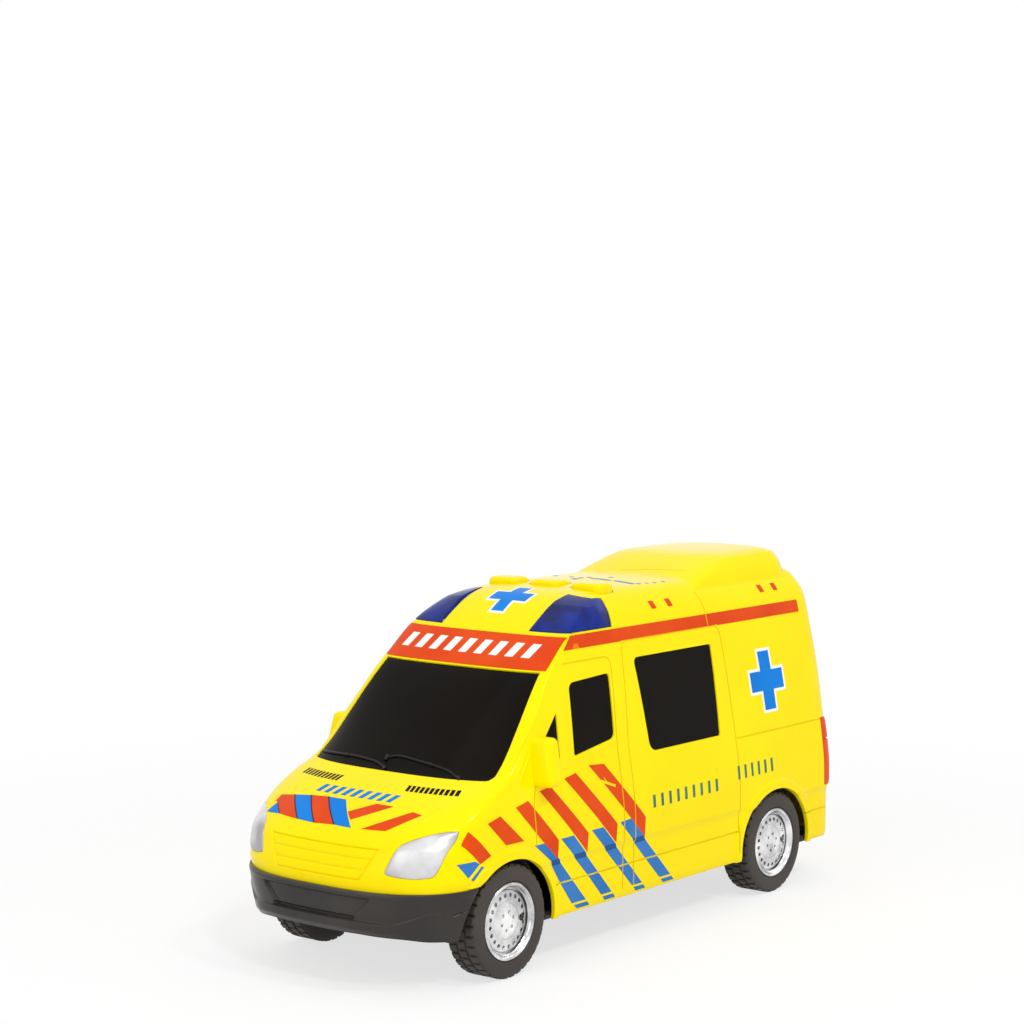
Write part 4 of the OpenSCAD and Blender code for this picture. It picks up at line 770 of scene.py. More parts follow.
def lensPlace(grow):
    def place(u, v, off):
        hi = mix(lamps["lensInHigh"], lamps["lensRearHigh"], u) + grow / 2
        z = mix(lamps["lensLow"] - grow, hi, v)
        rear = mix(lamps["lensRearLow"], lamps["lensRearTop"], v) - grow
        return skinOff(mix(noseT(lamps["lensIn"] - grow, z), np.maximum(1, flankT(rear, z)), u), z, off)
    return place


leftCuts += [plate("headlampCut", headlampPlace(lamps["fit"]), *lamps["cutCells"], proud, -lamps["seat"]),
             plate("tailLampCut", tailLampPlace(lamps["fit"]), *lamps["tailCut"], proud, -lamps["seat"]),
             plate("lensCut", lensPlace(lamps["fit"]), *lamps["cutCells"], lamps["lensProud"],
                   -van["wall"] - proud)]

# Grille, vents and panel lines pressed into the skin
pressed = {
    "grilleLow": .196, "grilleHigh": .296, "grilleLowWidth": .4, "grilleHighWidth": .53, "slats": 3,
    "grilleDepth": 0.55, "grilleShallow": 0.12, "grilleEdge": 0.02, "grilleCells": (96, 72),
    "slitCells": (2, 4), "slits": 11, "slitIn": .345, "slitOut": .8, "slitLow": .4325, "slitHigh": .4455,
    "slitFill": .7, "slitLean": -.4, "slitDepth": 1.1, "slitSunk": 0.04, "slitUnder": 0.1,
    "lineWidth": 0.36, "lineDepth": 0.24, "lineStep": 1.2, "lineRound": 3.0, "rearRound": 4.0,
    "lines": [[(.243, .25), (.243, .39), (.262, .49)], [(.44, .03), (.44, .5), (.455, .79), (.345, .79)],
              [(.466, .03), (.466, .5), (.486, .83), (.73, .83), (.73, .03)], [(.73, .436), (.965, .436)],
              [(.704, .84), (.704, .95)], [(.285, .108), (.73, .108)], [(.9, .108), (.992, .108)]],
    "slit": [(-46.0, -5.5), (-50.0, 17.0)],
    "rearLow": height(.12), "rearHigh": height(.87), "rearReach": halfBody * .62,
}


def grillePlace(u, v, off):
    z = height(mix(pressed["grilleLow"], pressed["grilleHigh"], v))
    w = mix(pressed["grilleLowWidth"], pressed["grilleHighWidth"], v) * halfW(z)
    return skinOff(noseT((2 * u - 1) * w, z), z, off)


def grilleDepth(u, v):
    rib = np.abs(2 * ((v * pressed["slats"]) % 1.0) - 1) ** 5
    rim = np.maximum(smooth(.94, .985, np.abs(2 * u - 1)), smooth(.9, .98, np.abs(2 * v - 1)))
    depth = mix(pressed["grilleShallow"], pressed["grilleDepth"], np.maximum(rib * .8, rim * (1 - rim) * 4))
    edge = smooth(.965, 1, np.maximum(np.abs(2 * u - 1), np.abs(2 * v - 1) ** .5))
    return -mix(depth, pressed["grilleEdge"], edge)


def slitPlace(i):
    pitch = (pressed["slitOut"] - pressed["slitIn"]) / pressed["slits"]

    def place(u, v, off):
        z = height(mix(pressed["slitLow"], pressed["slitHigh"], v))
        s = pressed["slitIn"] + pitch * (i + u * pressed["slitFill"] + v * pressed["slitLean"])
        return skinOff(noseT(s * halfW(z), z), z, off)
    return place


def lineCut(name, path, onSkin):
    pts = np.array(path, float)
    run = runOf(pts)
    e = 0.05

    def at(s):
        return np.stack([np.interp(s, run, pts[:, k]) for k in (0, 1)], -1)

    def place(u, v, off):
        s = np.clip(v * run[-1], 0, run[-1])
        d = at(s + e) - at(s - e)
        d /= np.linalg.norm(d, axis=-1, keepdims=True)
        side = np.stack([-d[..., 1], d[..., 0]], -1)
        q = at(s) + side * ((u - 0.5) * pressed["lineWidth"])[..., None]
        return onSkin(q.reshape(-1, 2), off.ravel()).reshape(*u.shape, 3)
    return plate(name, place, 2, int(run[-1] / pressed["lineStep"]) + 2, proud, -pressed["lineDepth"])


def roundedPath(points, r, steps=6):
    pts = [np.array(p, float) for p in points]
    out = [pts[0]]
    for a, b, c in zip(pts, pts[1:], pts[2:]):
        d, e = (a - b) / np.linalg.norm(a - b), (c - b) / np.linalg.norm(c - b)
        for k in range(steps + 1):
            s = k / steps
            out.append(b + d * r * (1 - s) ** 2 + e * r * s ** 2)
    return out + [pts[-1]]


def onTail(p, off):
    return skin(tailT(p[:, 0], p[:, 1]), p[:, 1]) - np.stack([off, 0 * off, 0 * off], -1)


for shares in pressed["lines"]:
    points = roundedPath([(along(a), height(b)) for a, b in shares], pressed["lineRound"])
    leftCuts.append(lineCut("lineCut", points, onFlank))
slits = range(pressed["slits"])
leftCuts += [plate("slitCut", slitPlace(i), *pressed["slitCells"], proud, -pressed["slitDepth"])
             for i in slits]
reach, low, high = pressed["rearReach"], pressed["rearLow"], pressed["rearHigh"]
rearPath = roundedPath([(0.01, low), (reach, low), (reach, high), (0.01, high)], pressed["rearRound"])
leftCuts.append(lineCut("rearLineCut", rearPath, onTail))
cutters.append(lineCut("rearSeamCut", [(0, low), (0, high)], onTail))
cutters.append(lineCut("slitCut", pressed["slit"], onFairing))
cutters.append(plate("grilleCut", grillePlace, *pressed["grilleCells"], proud, grilleDepth))


def archCut(x, r, far):
    ring = circle(x, shell["axleZ"], r, shell["archSteps"], shell["archStretch"])
    return prism("archCut", ring, shell["archIn"], far, "y")


leftCuts += [archCut(x, shell["archR"], outside) for x in shell["axles"]]
leftCuts += [archCut(x, shell["archR"] + shell["archUnder"], shell["archEdge"]) for x in shell["axles"]]
cutters.append(prism("noseCut", shell["noseCut"], -outside, outside, "y"))
buttons = {"x": -2.1, "ys": {"left": 16.0, "centre": 0.0, "right": -16.0}, "long": 8.4, "wide": 11.0,
           "corner": 2.0, "gap": 0.3, "cut": (94, 106), "ringSteps": 32}


def buttonOutline(y, grow, more=0.0):
    corners = box(buttons["x"], y, buttons["long"] / 2 + more, buttons["wide"] / 2)
    return roundedOutline(corners, buttons["corner"], grow)


for y in buttons["ys"].values():
    cutters.append(prism("buttonCut", buttonOutline(y, buttons["gap"]), *buttons["cut"], "z"))
carve(body, [*cutters, *leftCuts, *(mirrored(o, "rightCut") for o in leftCuts)])
settle(body, yellowShell, nodes=["body_shell"], degrees=32)
print("body cut", len(body.data.polygons))

# Panes
pane = plate("screenPane", screenPlace(-windows["fit"]), *screen["cells"], -windows["recess"],
             -screen["wall"])
settle(pane, darkPane, nodes=["windscreen"])


def paneSheet(name, keys, place):
    outlines = [roundedOutline(*windows[k], grow=-windows["fit"]) for k in keys]
    back = -van["wall"] - windows["behind"]
    return skinSheet(name, outlines, place, -windows["recess"], back, windows["cell"])


settlePair(paneSheet("sidePanes", sideWindows, onFlank), "sidePanes", darkPane, "glazing")
rearPane = paneSheet("rearPanes", ["rear"], onTail)
joined(rearPane, [mirrored(rearPane, "rearTwin")])
settle(rearPane, darkPane, nodes=["rear_glazing"])

# Wipers moulded on the windscreen: points (y, z) of each arm, and the knobs on them
wipers = {
    "arms": [[(-31.6, 56.5), (-15.5, 57.1), (-7.2, 56.7), (-1.5, 55.6)],
             [(-3.6, 58.0), (0.2, 58.6), (9.4, 58.0), (18.6, 56.9), (24.8, 55.1)]],
    "knobs": [((-19.6, 57.0), (-18.2, 57.05)), ((-2.3, 55.8), (-1.2, 55.3)), ((-3.8, 58.5), (-3.4, 57.2)),
              ((12.4, 57.75), (13.6, 57.6)), ((24.0, 55.6), (25.0, 54.9))],
    "armR": 0.4, "knobR": 0.55, "lift": -0.15, "armPoints": 40, "knobPoints": 3,
}


def onScreen(points, count):
    ys = np.linspace(points[0][0], points[-1][0], count)
    return onNose(np.stack([ys, curve(points, ys)], -1), np.full(count, wipers["lift"]))


rods = [rod("arm", onScreen(points, wipers["armPoints"]), wipers["armR"], darkPane)
        for points in wipers["arms"]]
rods += [rod("knob", onScreen(points, wipers["knobPoints"]), wipers["knobR"], darkPane)
         for points in wipers["knobs"]]
wiperPair = rods[0]
wiperPair.name = "wipers"
settle(joined(wiperPair, rods[1:]), wiperBlack, degrees=40)
print("panes set")


# Lamps
def dome(rise, power):
    def off(u, v):
        bow = (1 - np.abs(2 * u - 1) ** power) * (1 - np.abs(2 * v - 1) ** power)
        return -lamps["edgeSunk"] + (rise + lamps["edgeSunk"]) * bow ** .5
    return off


def lensFront(u, v):  # a face, a top facet and a narrow rear facet that meet in ridges
    up = np.minimum(v / lamps["lensRidge"], (1 - v) / (1 - lamps["lensRidge"]))
    back = np.minimum(1, (1 - u) / lamps["lensBack"])
    inner = np.minimum(1, u / lamps["lensFrontEdge"])
    facets = np.minimum(np.minimum(mix(lamps["lensFoot"], 1, up), back), inner)
    return -lamps["lensSunk"] + (lamps["lensRise"] + lamps["lensSunk"]) * facets


def tailFront(u, v):
    groove = np.abs(v - lamps["tailSplit"]) < lamps["splitHalf"]
    return dome(lamps["tailRise"], lamps["tailPower"])(u, v) - lamps["splitDepth"] * groove


lampBack = -lamps["seat"] + lamps["seatGap"]
lampFront = dome(lamps["rise"], lamps["power"])
headlamp = plate("headlampLeft", headlampPlace(-lamps["gap"]), *lamps["cells"], lampFront, lampBack)
settlePair(headlamp, "headlamp", silverPaint, "headlamp")
tailLamp = plate("tailLampLeft", tailLampPlace(-lamps["gap"]), *lamps["tailCells"], tailFront, lampBack)
settlePair(tailLamp, "tailLamp", redLens, "tail_lamp")
lens = plate("roofLensLeft", lensPlace(-lamps["gap"]), *lamps["lensCells"], lensFront, -van["wall"])
settlePair(lens, "roofLens", blueLens, "beacon_lens")
print("lamps set")

# Front bumper from arch to arch: a lower bar, a sunk plate over it and a lip on top
bumper = {
    "low": 16.9, "lowEnd": 14.3, "high": height(.167), "out": van["setback"] - .03,
    "endGap": 0.15, "corner": .32, "endShare": .45, "back": 0.15, "least": 0.25, "cells": (280, 96),
    "barTop": .3, "barEnd": .62, "face": .62, "lip": .74, "top": .45,
    "recessFoot": 14.2, "recessTop": 19.6, "recessLow": .37, "recessHigh": .84, "recessDepth": 0.85,
    "gutter": 0.3, "notch": 0.35,
}


def bumperPlace(u, v, off):
    low = mix(bumper["low"], bumper["lowEnd"], smooth(.2, .9, np.abs(2 * u - 1)))
    z = mix(low, bumper["high"], v)
    reach = np.sqrt(np.maximum(0, shell["archR"] ** 2 - (z - shell["axleZ"]) ** 2))
    end = shell["axles"][0] + bumper["endGap"] + shell["archStretch"] * reach
    return skinOff((2 * u - 1) * flankT(end, z), z, off)


def bumperFront(u, v):
    b, s = bumper, np.abs(2 * u - 1)
    ledge = mix(b["barTop"], b["barEnd"], smooth(.4, .72, s))
    bar = smooth(ledge + .02, ledge - .02, v) * mix(1, .1, smooth(.68, .84, s))
    face = mix(mix(b["face"], b["lip"], smooth(.87, .9, v)), b["top"], smooth(.96, 1, v))
    stand = mix(mix(1, b["corner"], smooth(.3, .62, s)), b["endShare"], smooth(.84, 1, s))
    off = b["out"] * mix(face, 1, bar) * mix(.7, 1, smooth(0, .14, v)) * stand
    y = np.abs(bumperPlace(u, v, 0 * u)[..., 1])
    up = np.clip((v - b["recessLow"]) / (b["recessHigh"] - b["recessLow"]), 0, 1)
    wide = mix(b["recessFoot"], b["recessTop"], up)
    across = smooth(wide + .25, wide - .25, y)
    low, high = v - b["recessLow"], v - b["recessHigh"]
    off -= b["recessDepth"] * across * smooth(-.03, .03, low) * smooth(.03, -.03, high)
    gutter = smooth(wide + .8, wide + .2, y) * smooth(ledge, ledge + .02, v) * smooth(.03, -.01, low)
    off = mix(off, b["gutter"], gutter)
    notch = smooth(.86, .88, s) * smooth(.985, .965, s) * smooth(.022, .008, np.abs(v - .52 - .9 * (s - .86)))
    return np.maximum(off - b["notch"] * notch, b["least"])


bumperPiece = plate("bumper", bumperPlace, *bumper["cells"], bumperFront, bumper["back"])
settle(bumperPiece, blackTrim, nodes=["front_bumper"])

# Floor pan with a nose that slopes up under the bumper
pan = {"rear": 82.0, "low": 15.5, "slope": .0957, "inset": 2.2, "reach": .82, "half": 0.4, "rearHalf": 27.0,
       "steps": 61, "edgeZ": 17.0, "clear": 3.5, "cell": 4.0}
floorPan = bpy.data.objects.new("floorPan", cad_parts["chassis"].data.copy())
scene.collection.objects.link(floorPan)
weld(floorPan)
carve(floorPan, [prism("noseCut", shell["noseCut"], -outside, outside, "y")])
spread = np.linspace(-pan["reach"], pan["reach"], pan["steps"])
edge = skinIn(spread, np.full(pan["steps"], pan["edgeZ"]), pan["inset"])[:, :2]
edge = [tuple(p) for p in edge if p[0] > pan["rear"] + pan["clear"]]


def onPan(p, off):
    return np.stack([p[:, 0], p[:, 1], pan["low"] + pan["slope"] * (p[:, 0] - pan["rear"]) + off], -1)


trayOutline = [(pan["rear"], -pan["rearHalf"]), *edge, (pan["rear"], pan["rearHalf"])]
tray = skinSheet("tray", [trayOutline], onPan, pan["half"], -pan["half"], pan["cell"])
settle(joined(floorPan, [tray]), blackTrim, nodes=["chassis"])
print("floor pan", len(floorPan.data.polygons))
# Dark sheets filling the bonnet slits almost to the skin: painted shade in the slits
slitFoot = -pressed["slitDepth"] - pressed["slitUnder"]
vents = [plate("ventShadeFill", slitPlace(i), *pressed["slitCells"], -pressed["slitSunk"], slitFoot)
         for i in slits]
vents += [mirrored(o, "ventShadeTwin") for o in vents]
vents[0].name = "ventSlotShade"
settle(joined(vents[0], vents[1:]), darkPane)
print("bumper set")

# Wing mirrors
mirrorSet = {"x": along(.262), "low": height(.432), "high": height(.584), "reach": 6.2, "deep": 6.0,
             "lean": 1.2, "r": 1.8, "draw": 2.2, "bed": (30, 70), "bedGap": 0.05, "bedSteps": 60,
             "ballDetail": 4}


def wingMirror(name):
    m = mirrorSet
    lo, hi = m["low"] + m["r"], m["high"] - m["r"]
    bm = bmesh.new()
    for z in (lo, hi):
        for k in (-1, 1):
            x = m["x"] + (0 if z == lo else -m["lean"]) + k * (m["deep"] / 2 - m["r"])
            out = float(halfW(lo)) + m["reach"] - (0 if z == lo else m["draw"])
            for y in (out - m["r"], float(halfW(z)) - m["r"]):
                ball = bmesh.ops.create_icosphere(bm, subdivisions=m["ballDetail"], radius=m["r"] * mm)
                bmesh.ops.translate(bm, verts=ball["verts"], vec=Vector((x, y, z)) * mm)
    hull = bmesh.ops.convex_hull(bm, input=bm.verts[:])
    inside = [g for g in hull["geom_interior"] if isinstance(g, bmesh.types.BMVert)]
    bmesh.ops.delete(bm, geom=inside, context="VERTS")
    loose = [v for v in bm.verts if not v.link_faces]
    bmesh.ops.delete(bm, geom=loose, context="VERTS")
    z = np.linspace(van["sill"], van["roof"], m["bedSteps"])
    ring = [(float(halfW(q)) + m["bedGap"], q) for q in z] + [(0, van["roof"]), (0, van["sill"])]
    return carve(fromBmesh(name, bm), [prism("mirrorBed", ring, *m["bed"], "x")])


settlePair(wingMirror("mirrorLeft"), "mirror", yellowShell, "mirror", 50)
print("mirrors set")


def lathe(name, profile, centre, side, steps=128):
    pts = np.array(profile, float)
    a = np.linspace(0, 2 * math.pi, steps, endpoint=False)
    rings = np.stack([np.outer(pts[:, 0], np.cos(a)), np.repeat(pts[:, 1:], steps, 1) * side,
                      np.outer(pts[:, 0], np.sin(a))], -1) + np.array(centre)
    n = len(pts)

    def corner(i, k):
        return i % n * steps + k % steps
    faces = [[corner(i, k), corner(i + 1, k), corner(i + 1, k + 1), corner(i, k + 1)]
             for i in range(n) for k in range(steps)]
    return makeObject(name, rings, faces, True)


def blockMesh(name, size, place, round):
    bm = bmesh.new()
    bmesh.ops.create_cube(bm, size=1)
    bmesh.ops.scale(bm, vec=Vector(size) * mm, verts=bm.verts)
    bmesh.ops.bevel(bm, geom=bm.edges[:], offset=round * mm, segments=1, affect="EDGES", profile=0.5)
    bmesh.ops.translate(bm, vec=Vector(place) * mm, verts=bm.verts)
    return fromBmesh(name, bm)


# Wheels: y runs along the axle from the tyre's inner face to its outer one
wheel = {
    "radius": 16.0, "width": 10.4, "halfTrack": 38.8, "rimR": 11.0, "groove": 0.6, "blocks": 34,
    "block": (1.3, 2.5, 2.2), "blockSunk": 0.06, "blockRound": 0.18, "rows": ((1.9, 0), (5.2, .5), (8.5, 0)),
    "rimSteps": 144, "pitSteps": 14,
    "rimProfile": [(1.5, 0), (3.6, 0), (3.6, 4.9), (9.7, 4.9), (9.7, 0), (11.0, 0), (11.0, 9.7),
                   (10.85, 10.15), (10.5, 10.38), (10.15, 10.34), (9.9, 10.1), (9.7, 9.6), (9.5, 9.2),
                   (9.3, 9.0), (9.25, 7.4), (8.85, 7.4), (8.8, 8.5), (8.6, 8.75), (8.2, 8.88), (7.4, 9.02),
                   (6.4, 9.15), (5.9, 9.15), (5.6, 8.95), (5.2, 8.95), (4.9, 9.2), (4.4, 9.45), (3.6, 9.55),
                   (3.3, 9.5), (3.1, 9.3), (2.0, 9.3), (1.8, 9.45), (1.55, 9.7), (1.3, 9.8), (.6, 9.84),
                   (.01, 9.84), (.01, 7), (1.5, 7)],
    # Bolt pits, dimples and valve hole: radius, ring, count, first turn, from, to
    "pits": [(0.45, 2.6, 6, .3, 8.1, 10.2), (0.58, 7.3, 20, .1, 7.4, 10), (1.15, 6.5, 1, math.pi, 4, 10)],
}


def tyre(name, x, side):
    w = wheel
    inner, r, g = w["halfTrack"] - w["width"], w["radius"], w["groove"]
    wall = [(w["rimR"] - .05, .7), (w["rimR"] + .5, .1), (12.6, .02), (13.8, .04), (14.7, .12), (15.25, .32),
            (15.5, .6), (15.48, .72), (r - g, .78)]
    prof = wall + [(a, w["width"] - b) for a, b in wall[::-1]]
    centre = (x, side * inner, shell["axleZ"])
    base = lathe(name, prof, centre, side)
    parts = []
    for y, phase in w["rows"]:
        at = (r - w["block"][0] / 2 - w["blockSunk"], side * (inner + y), 0)
        block = blockMesh("block", w["block"], at, w["blockRound"])
        first = phase * 2 * math.pi / w["blocks"]
        parts.append(copiesRound(block, w["blocks"], first, (x, 0, shell["axleZ"]), tyreBlack))
    return joined(base, parts)


def rim(name, x, side):
    w = wheel
    inner = w["halfTrack"] - w["width"]
    base = lathe(name, w["rimProfile"], (x, side * inner, shell["axleZ"]), side, w["rimSteps"])

    def pits(r, ring, count, first, lo, hi):
        ys = sorted((side * (inner + lo), side * (inner + hi)))
        peg = prism("peg", circle(ring, 0, r, w["pitSteps"]), *ys, "y")
        return copiesRound(peg, count, first, (x, 0, shell["axleZ"]), platedRim)
    return carve(base, [pits(*row) for row in w["pits"]])


for end, x in zip(("front", "rear"), shell["axles"]):
    for word, side in (("left", 1), ("right", -1)):
        tag = end.capitalize() + word.capitalize()
        settle(tyre("tyre" + tag, x, side), tyreBlack, end + "_wheels", [f"tyre_{end}_{word}"], 30)
        settle(rim("rim" + tag, x, side), platedRim, end + "_wheels", [f"rim_{end}_{word}"], 30)
print("wheels set")

# Prints on the skin: outlines as (x, z) on the flank, (y, z) on the nose, (x, y) on the roof
prints = {
    "over": 0.07, "under": -0.25, "cell": 1.3, "noseCell": 1.0, "barCell": .8, "smallCell": .6,
    "levels": tuple(np.arange(28.2, 30.6, .2)),
    "sideRed": [[(81.9, 43.8), (74, 36.1), (78.7, 34.6), (84.8, 40.5)],
                [(74.6, 44.9), (69, 46.1), (59.6, 37.8), (67.5, 37.9)],
                [(62, 47.4), (56.4, 48.4), (44, 35.5), (44.5, 29.9), (54.3, 39.3)],
                [(50.8, 50.3), (45.8, 50.9), (30.1, 35.3), (30.7, 29.9)],
                [(39.1, 52.1), (33.7, 53), (16.1, 35.7), (16.8, 30.3)],
                [(27.3, 54.3), (20.1, 53.7), (2.1, 35.6), (2.6, 29.5)]],
    "sideBlue": [[(86.9, 35.6), (81, 35.7), (79, 34.7), (83.6, 31.5)],
                 [(82.6, 30.9), (81.6, 30.4), (76.8, 33.3), (78.1, 33.9)],
                 [(54.9, 35.7), (50.6, 35.6), (43.7, 30), (36.1, 21.9), (30.7, 16.2), (28.5, 14), (34.4, 14),
                  (37, 15.9), (42.4, 22.7), (47.5, 30.1)],
                 [(42.8, 35.6), (37, 35.7), (16.1, 14.0), (21.2, 14.0), (29.6, 22.9)],
                 [(28.5, 35.8), (22.9, 35.8), (1.0, 14.0), (5.9, 14.0)],
                 [(14.6, 35.9), (9.3, 36.2), (-13.5, 14.0), (-8, 14.0), (1.2, 22.8)]],
    "chips": [((22.4, 49.1), (15.4, 46.6), .8), ((21.2, 50.2), (18.6, 47.2), .35)],
    "stripe": [[(26.3, 91.1), (30.7, 87.2), (-95.3, 87.2), (-95.3, 91.1)]],
    "squares": [(-18, 96), (-26.5, 96), (-77.6, 96), (-85.6, 96)], "squareHalf": (1.2, 1.1),
    "banner": [[(-30.4, 82.2), (30.4, 82.2), (29.7, 90.7), (-29.7, 90.7)]], "bannerOver": 0.2,
    "bonnetRed": [[(-28.1, 45.5), (-27.6, 47.0), (-22.0, 47.7), (-12.8, 43.2), (-21.6, 43.4), (-26.3, 45.4)],
                  [(-15.7, 48.3), (-9.1, 48.6), (1.2, 43.4), (-6.0, 43.1)],
                  [(2.1, 46.4), (8.8, 48.7), (14.9, 48.6), (5.2, 44.9)],
                  [(11.1, 43.4), (22.0, 48.0), (25.3, 47.5), (18.8, 43.6)]],
    "bonnetBlue": [[(-28.6, 42.8), (-26.3, 45.4), (-21.6, 43.4)],
                   [(-22.0, 47.7), (-15.7, 48.3), (-6.0, 43.1), (-12.8, 43.2)],
                   [(-9.1, 48.6), (-2.4, 48.6), (7.6, 43.3), (1.2, 43.4)]],
    "bonnetSeams": [((-26.3, 45.4), (-21.6, 43.4)), ((-22.0, 47.7), (-12.8, 43.2)),
                    ((-15.7, 48.3), (-6.0, 43.1)), ((-9.1, 48.6), (1.2, 43.4))], "seamHalf": 0.3,
    "seamOver": .1, "rimOver": .05, "plusOver": .1, "barsOver": .05, "barsUnder": .1, "lineGap": .5,
    "sillGap": ((110, 15.6), (-110, 15.6), .7),
    "flankPlus": {"centre": (-70.0, 67.8), "reach": 9.2, "half": 3.1, "rim": 0.9},
    "roofPlus": {"centre": (16.5, 0.0), "reach": 7.0, "half": 2.3, "rim": 0.8},
    "bannerBars": (-26.0, 26.0, 85.0, 88.6, 9, .5, 1.3), "bonnetBars": (-16.0, 14.0, 49.3, 50.8, 9, .52, 1.2),
    "flankBars": [(-2.0, -39.0, 37.6, 41.4, 9, .3, 0.0), (-47.5, -70.0, 39.4, 43.6, 6, .3, 0.0)],
    "roofDashes": [(-24.8, -15.4, .8, .6), (-21, -6.2, .6, .6), (-16.4, -1.1, 1.2, 1.0), (-20, -1.6, .6, .6),
                   (-22.8, -0.6, .6, .8), (-20.6, 5.6, .9, 3.6), (-27.1, 4.7, .6, .6), (-21.2, 14, .9, 3.6),
                   (-23.2, 18.2, .7, .6), (-26.6, 18.8, .5, .5), (-30, 19.3, .5, .5), (-34.2, 19.4, .5, .5)],
}


def printSheet(name, outlines, place, material, cell=prints["cell"], front=prints["over"], gaps=(),
               twin=False, under=prints["under"]):
    levels = prints["levels"] if place is onFlank else ()
    obj = skinSheet(name, outlines, place, front, under, cell, gaps, levels)
    if twin:
        joined(obj, [mirrored(obj, "twin")])
    return settle(obj, material, degrees=25)


def barRow(first, last, low, high, count, fill, lean):  # slanted bars in a row
    pitch = (last - first) / count
    return [[(a, low), (a + pitch * fill, low), (a + pitch * fill + lean, high), (a + lean, high)]
            for a in first + pitch * np.arange(count)]


def strip(ends, half):
    a, b = np.array(ends[0]), np.array(ends[1])
    n = np.array([-half, 0])
    return [tuple(a - n), tuple(b - n), tuple(b + n), tuple(a + n)]


def plusOutline(mark, grow=0.0):
    (x, y), r, h = mark["centre"], mark["reach"] + grow, mark["half"] + grow
    corners = [(h, h), (h, r), (-h, r), (-h, h), (-r, h), (-r, -h),
               (-h, -h), (-h, -r), (h, -r), (h, -h), (r, -h), (r, h)]
    return [(x + a, y + b) for a, b in corners]


def plusMark(name, mark, place, twin):
    printSheet(name + "Rim", [plusOutline(mark, mark["rim"])], place, whitePrint, front=prints["rimOver"],
               twin=twin)
    printSheet(name, [plusOutline(mark)], place, brightBluePrint, front=prints["plusOver"], twin=twin)


lineGaps = [((along(a[0]), height(a[1])), (along(b[0]), height(b[1])), prints["lineGap"])
            for path in pressed["lines"] for a, b in zip(path, path[1:])]
lineGaps.append(prints["sillGap"])
printSheet("sideBarsRed", prints["sideRed"], onFlank, redPrint, gaps=lineGaps + prints["chips"], twin=True)
printSheet("sideBarsBlue", prints["sideBlue"], onFlank, bluePrintAndShade, gaps=lineGaps, twin=True)
printSheet("roofStripe", prints["stripe"], onFlank, redPrint, gaps=lineGaps, twin=True)
squares = [box(*c, *prints["squareHalf"]) for c in prints["squares"]]
printSheet("roofSquares", squares, onFlank, redPrint, prints["smallCell"], twin=True)
printSheet("banner", prints["banner"], onNose, redPrint, prints["noseCell"], prints["bannerOver"])
printSheet("bannerBars", barRow(*prints["bannerBars"]), onNose, whitePrint, prints["noseCell"],
           prints["bannerOver"] + prints["barsOver"], under=prints["barsUnder"])
printSheet("bonnetRed", prints["bonnetRed"], onNose, redPrint, prints["noseCell"])
printSheet("bonnetBlue", prints["bonnetBlue"], onNose, brightBluePrint, prints["noseCell"])
seams = [strip(e, prints["seamHalf"]) for e in prints["bonnetSeams"]]
printSheet("bonnetSeams", seams, onNose, darkPrint, prints["noseCell"], prints["seamOver"])
printSheet("bonnetBars", barRow(*prints["bonnetBars"]), onNose, brightBluePrint, prints["barCell"])
flankBars = [b for row in prints["flankBars"] for b in barRow(*row)]
printSheet("flankBars", flankBars, onFlank, tealPrint, twin=True)
dashes = [box(*d) for d in prints["roofDashes"]]
printSheet("roofDashes", dashes, onRoof, brightBluePrint, prints["smallCell"])
plusMark("flankPlus", prints["flankPlus"], onFlank, True)
plusMark("roofPlus", prints["roofPlus"], onRoof, False)
print("prints laid")

# Roof buttons with a soft crown, a flange under the roof and a stem
crown = {"levels": [(95.6, 0), (101.9, 0), (102.5, .1), (102.9, .35), (103.2, .8), (103.36, 1.3),
                    (103.42, 1.9)],
         "flange": (1.4, 95.6, 96.8), "stem": (2.0, 90.05, 96.0)}

for word, y in buttons["ys"].items():
    rings = [[(*p, z) for p in buttonOutline(y, -inset)] for z, inset in crown["levels"]]
    cap = loft("button" + word.capitalize(), rings)
    more, low, high = crown["flange"]
    r, foot, head = crown["stem"]
    flange = prism("flange", buttonOutline(y, 0, more), low, high, "z")
    ring = circle(buttons["x"], y, r, buttons["ringSteps"])
    joined(cap, [flange, prism("stem", ring, foot, head, "z")])
    settle(cap, yellowShell, word + "_button", ["button_" + word], 50)
print("buttons set")

# Rubber domes on the board under the buttons
rubberDome = {"low": 87.6, "rings": [(0, 3.2), (.3, 3.1), (1.9, 2.35), (2.25, 2.15), (2.4, 1.7)], "keep": .42}
for word, y in buttons["ys"].items():
    rings = [[(*p, rubberDome["low"] + up) for p in circle(buttons["x"], y, r, buttons["ringSteps"])]
             for up, r in rubberDome["rings"]]
    piece = loft("dome" + word.capitalize(), rings)
    settle(piece, domeRubber, nodes=["button_dome_" + word])
    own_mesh(piece)
print("domes set")

# CAD pieces that stay, with their own finishes
kept = {
    blackTrim: ["battery_cover", "gearbox_housing", "gearbox_cover", "speaker"],
    steelPin: ["chassis_screws", "battery_cover_screw", "board_screws", "gearbox_screws", "battery_cells",
               "battery_contacts", "front_axle", "rear_axle", "flywheel"],
    greenBoard: ["sound_board"], clearLamp: ["beacon_leds"], wireSleeve: ["wire_loom"],
    whiteGear: ["axle_gear", "idler_gear"],
}
for material, names in kept.items():
    for name in names:
        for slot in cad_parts[name].material_slots:
            slot.material = material
print("CAD pieces finished")

# Pale floor and soft light
studio = {"floor": (0.95, 0.95, 0.95, 1), "floorRough": 0.9, "reach": 6000, "aim": (0, 0, 0.05),
          "world": 0.55, "near": 0.14, "far": 0.42, "keep": 0.7,
          "lamps": [("key", (0.5, 0.9, 1.1), 0.18, 5.0), ("edge", (-0.03, 0.8, 1.1), 0.18, 2.6),
                    ("top", (0, 0, 1.4), 1.6, 3.7), ("front", (1.2, 0.0, 0.6), 1.0, 3.4)]}


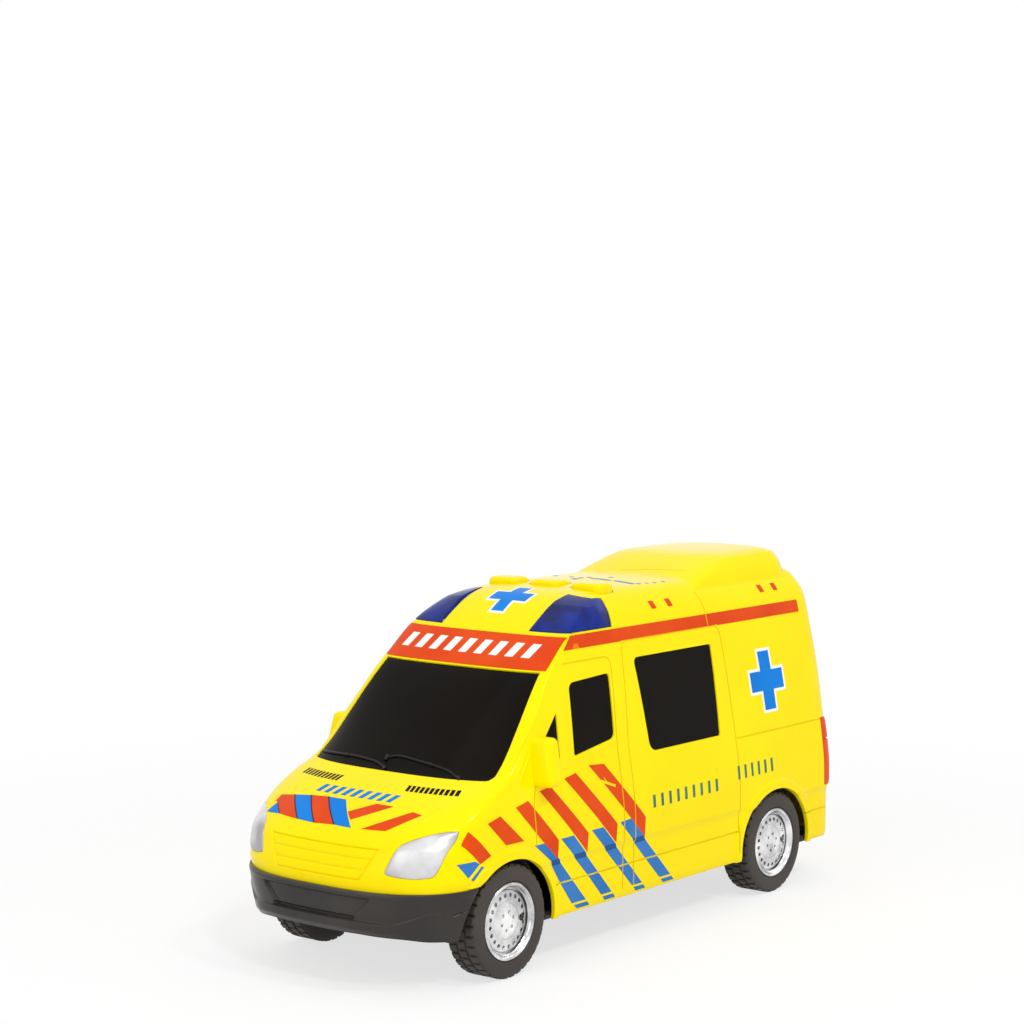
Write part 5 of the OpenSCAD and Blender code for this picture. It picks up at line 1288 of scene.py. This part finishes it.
def seenRays(tree):  # 1 for what the camera, metal and glass see
    path, total = addNode(tree, "ShaderNodeLightPath").outputs, 0
    for name in ("Is Camera Ray", "Is Glossy Ray", "Is Transmission Ray"):
        add = addNode(tree, "ShaderNodeMath", path[name], total, make={"operation": "ADD", "use_clamp": True})
        total = add.outputs[0]
    return total


def whiteWhereSeen(tree, lit, factor, out):
    kind = "ShaderNodeEmission" if out.type == "OUTPUT_MATERIAL" else "ShaderNodeBackground"
    white = addNode(tree, kind, Color=(1, 1, 1, 1))
    both = addNode(tree, "ShaderNodeMixShader", factor, lit.outputs[0], white.outputs[0])
    tree.links.new(both.outputs[0], out.inputs["Surface"])


floor = makeObject("floor", box(0, 0, studio["reach"], studio["reach"], 0), [[0, 1, 2, 3]])
floorPaint = bpy.data.materials.new("floorPaint")
floorPaint.use_nodes = True
paper = floorPaint.node_tree
lit = paper.nodes["Principled BSDF"]
lit.inputs["Base Color"].default_value = studio["floor"]
lit.inputs["Roughness"].default_value = studio["floorRough"]
spot = addNode(paper, "ShaderNodeTexCoord").outputs["Object"]
away = addNode(paper, "ShaderNodeVectorMath", spot, make={"operation": "LENGTH"}).outputs["Value"]
# The shadow stays near the van and fades out to white
fade = addNode(paper, "ShaderNodeMapRange", make={"interpolation_type": "SMOOTHSTEP"}, Value=away,
               From_Min=studio["near"], From_Max=studio["far"], To_Min=studio["keep"]).outputs["Result"]
whiteWhereSeen(paper, lit, mathNode(paper, "MULTIPLY", fade, seenRays(paper)), paper.nodes["Material Output"])
floor.data.materials.append(floorPaint)
world = bpy.data.worlds.new("studio")
scene.world = world
world.use_nodes = True
sky = world.node_tree
sky.nodes["Background"].inputs["Color"].default_value = (1, 1, 1, 1)
sky.nodes["Background"].inputs["Strength"].default_value = studio["world"]
whiteWhereSeen(sky, sky.nodes["Background"], seenRays(sky), sky.nodes["World Output"])
for name, at, size, power in studio["lamps"]:
    light = bpy.data.objects.new(name, bpy.data.lights.new(name, "AREA"))
    scene.collection.objects.link(light)
    light.data.size, light.data.energy = size, power
    light.location = at
    light.rotation_mode = "QUATERNION"
    light.rotation_quaternion = (Vector(studio["aim"]) - light.location).to_track_quat("-Z", "Y")
scene.view_settings.view_transform = "Standard"
print("studio lit")
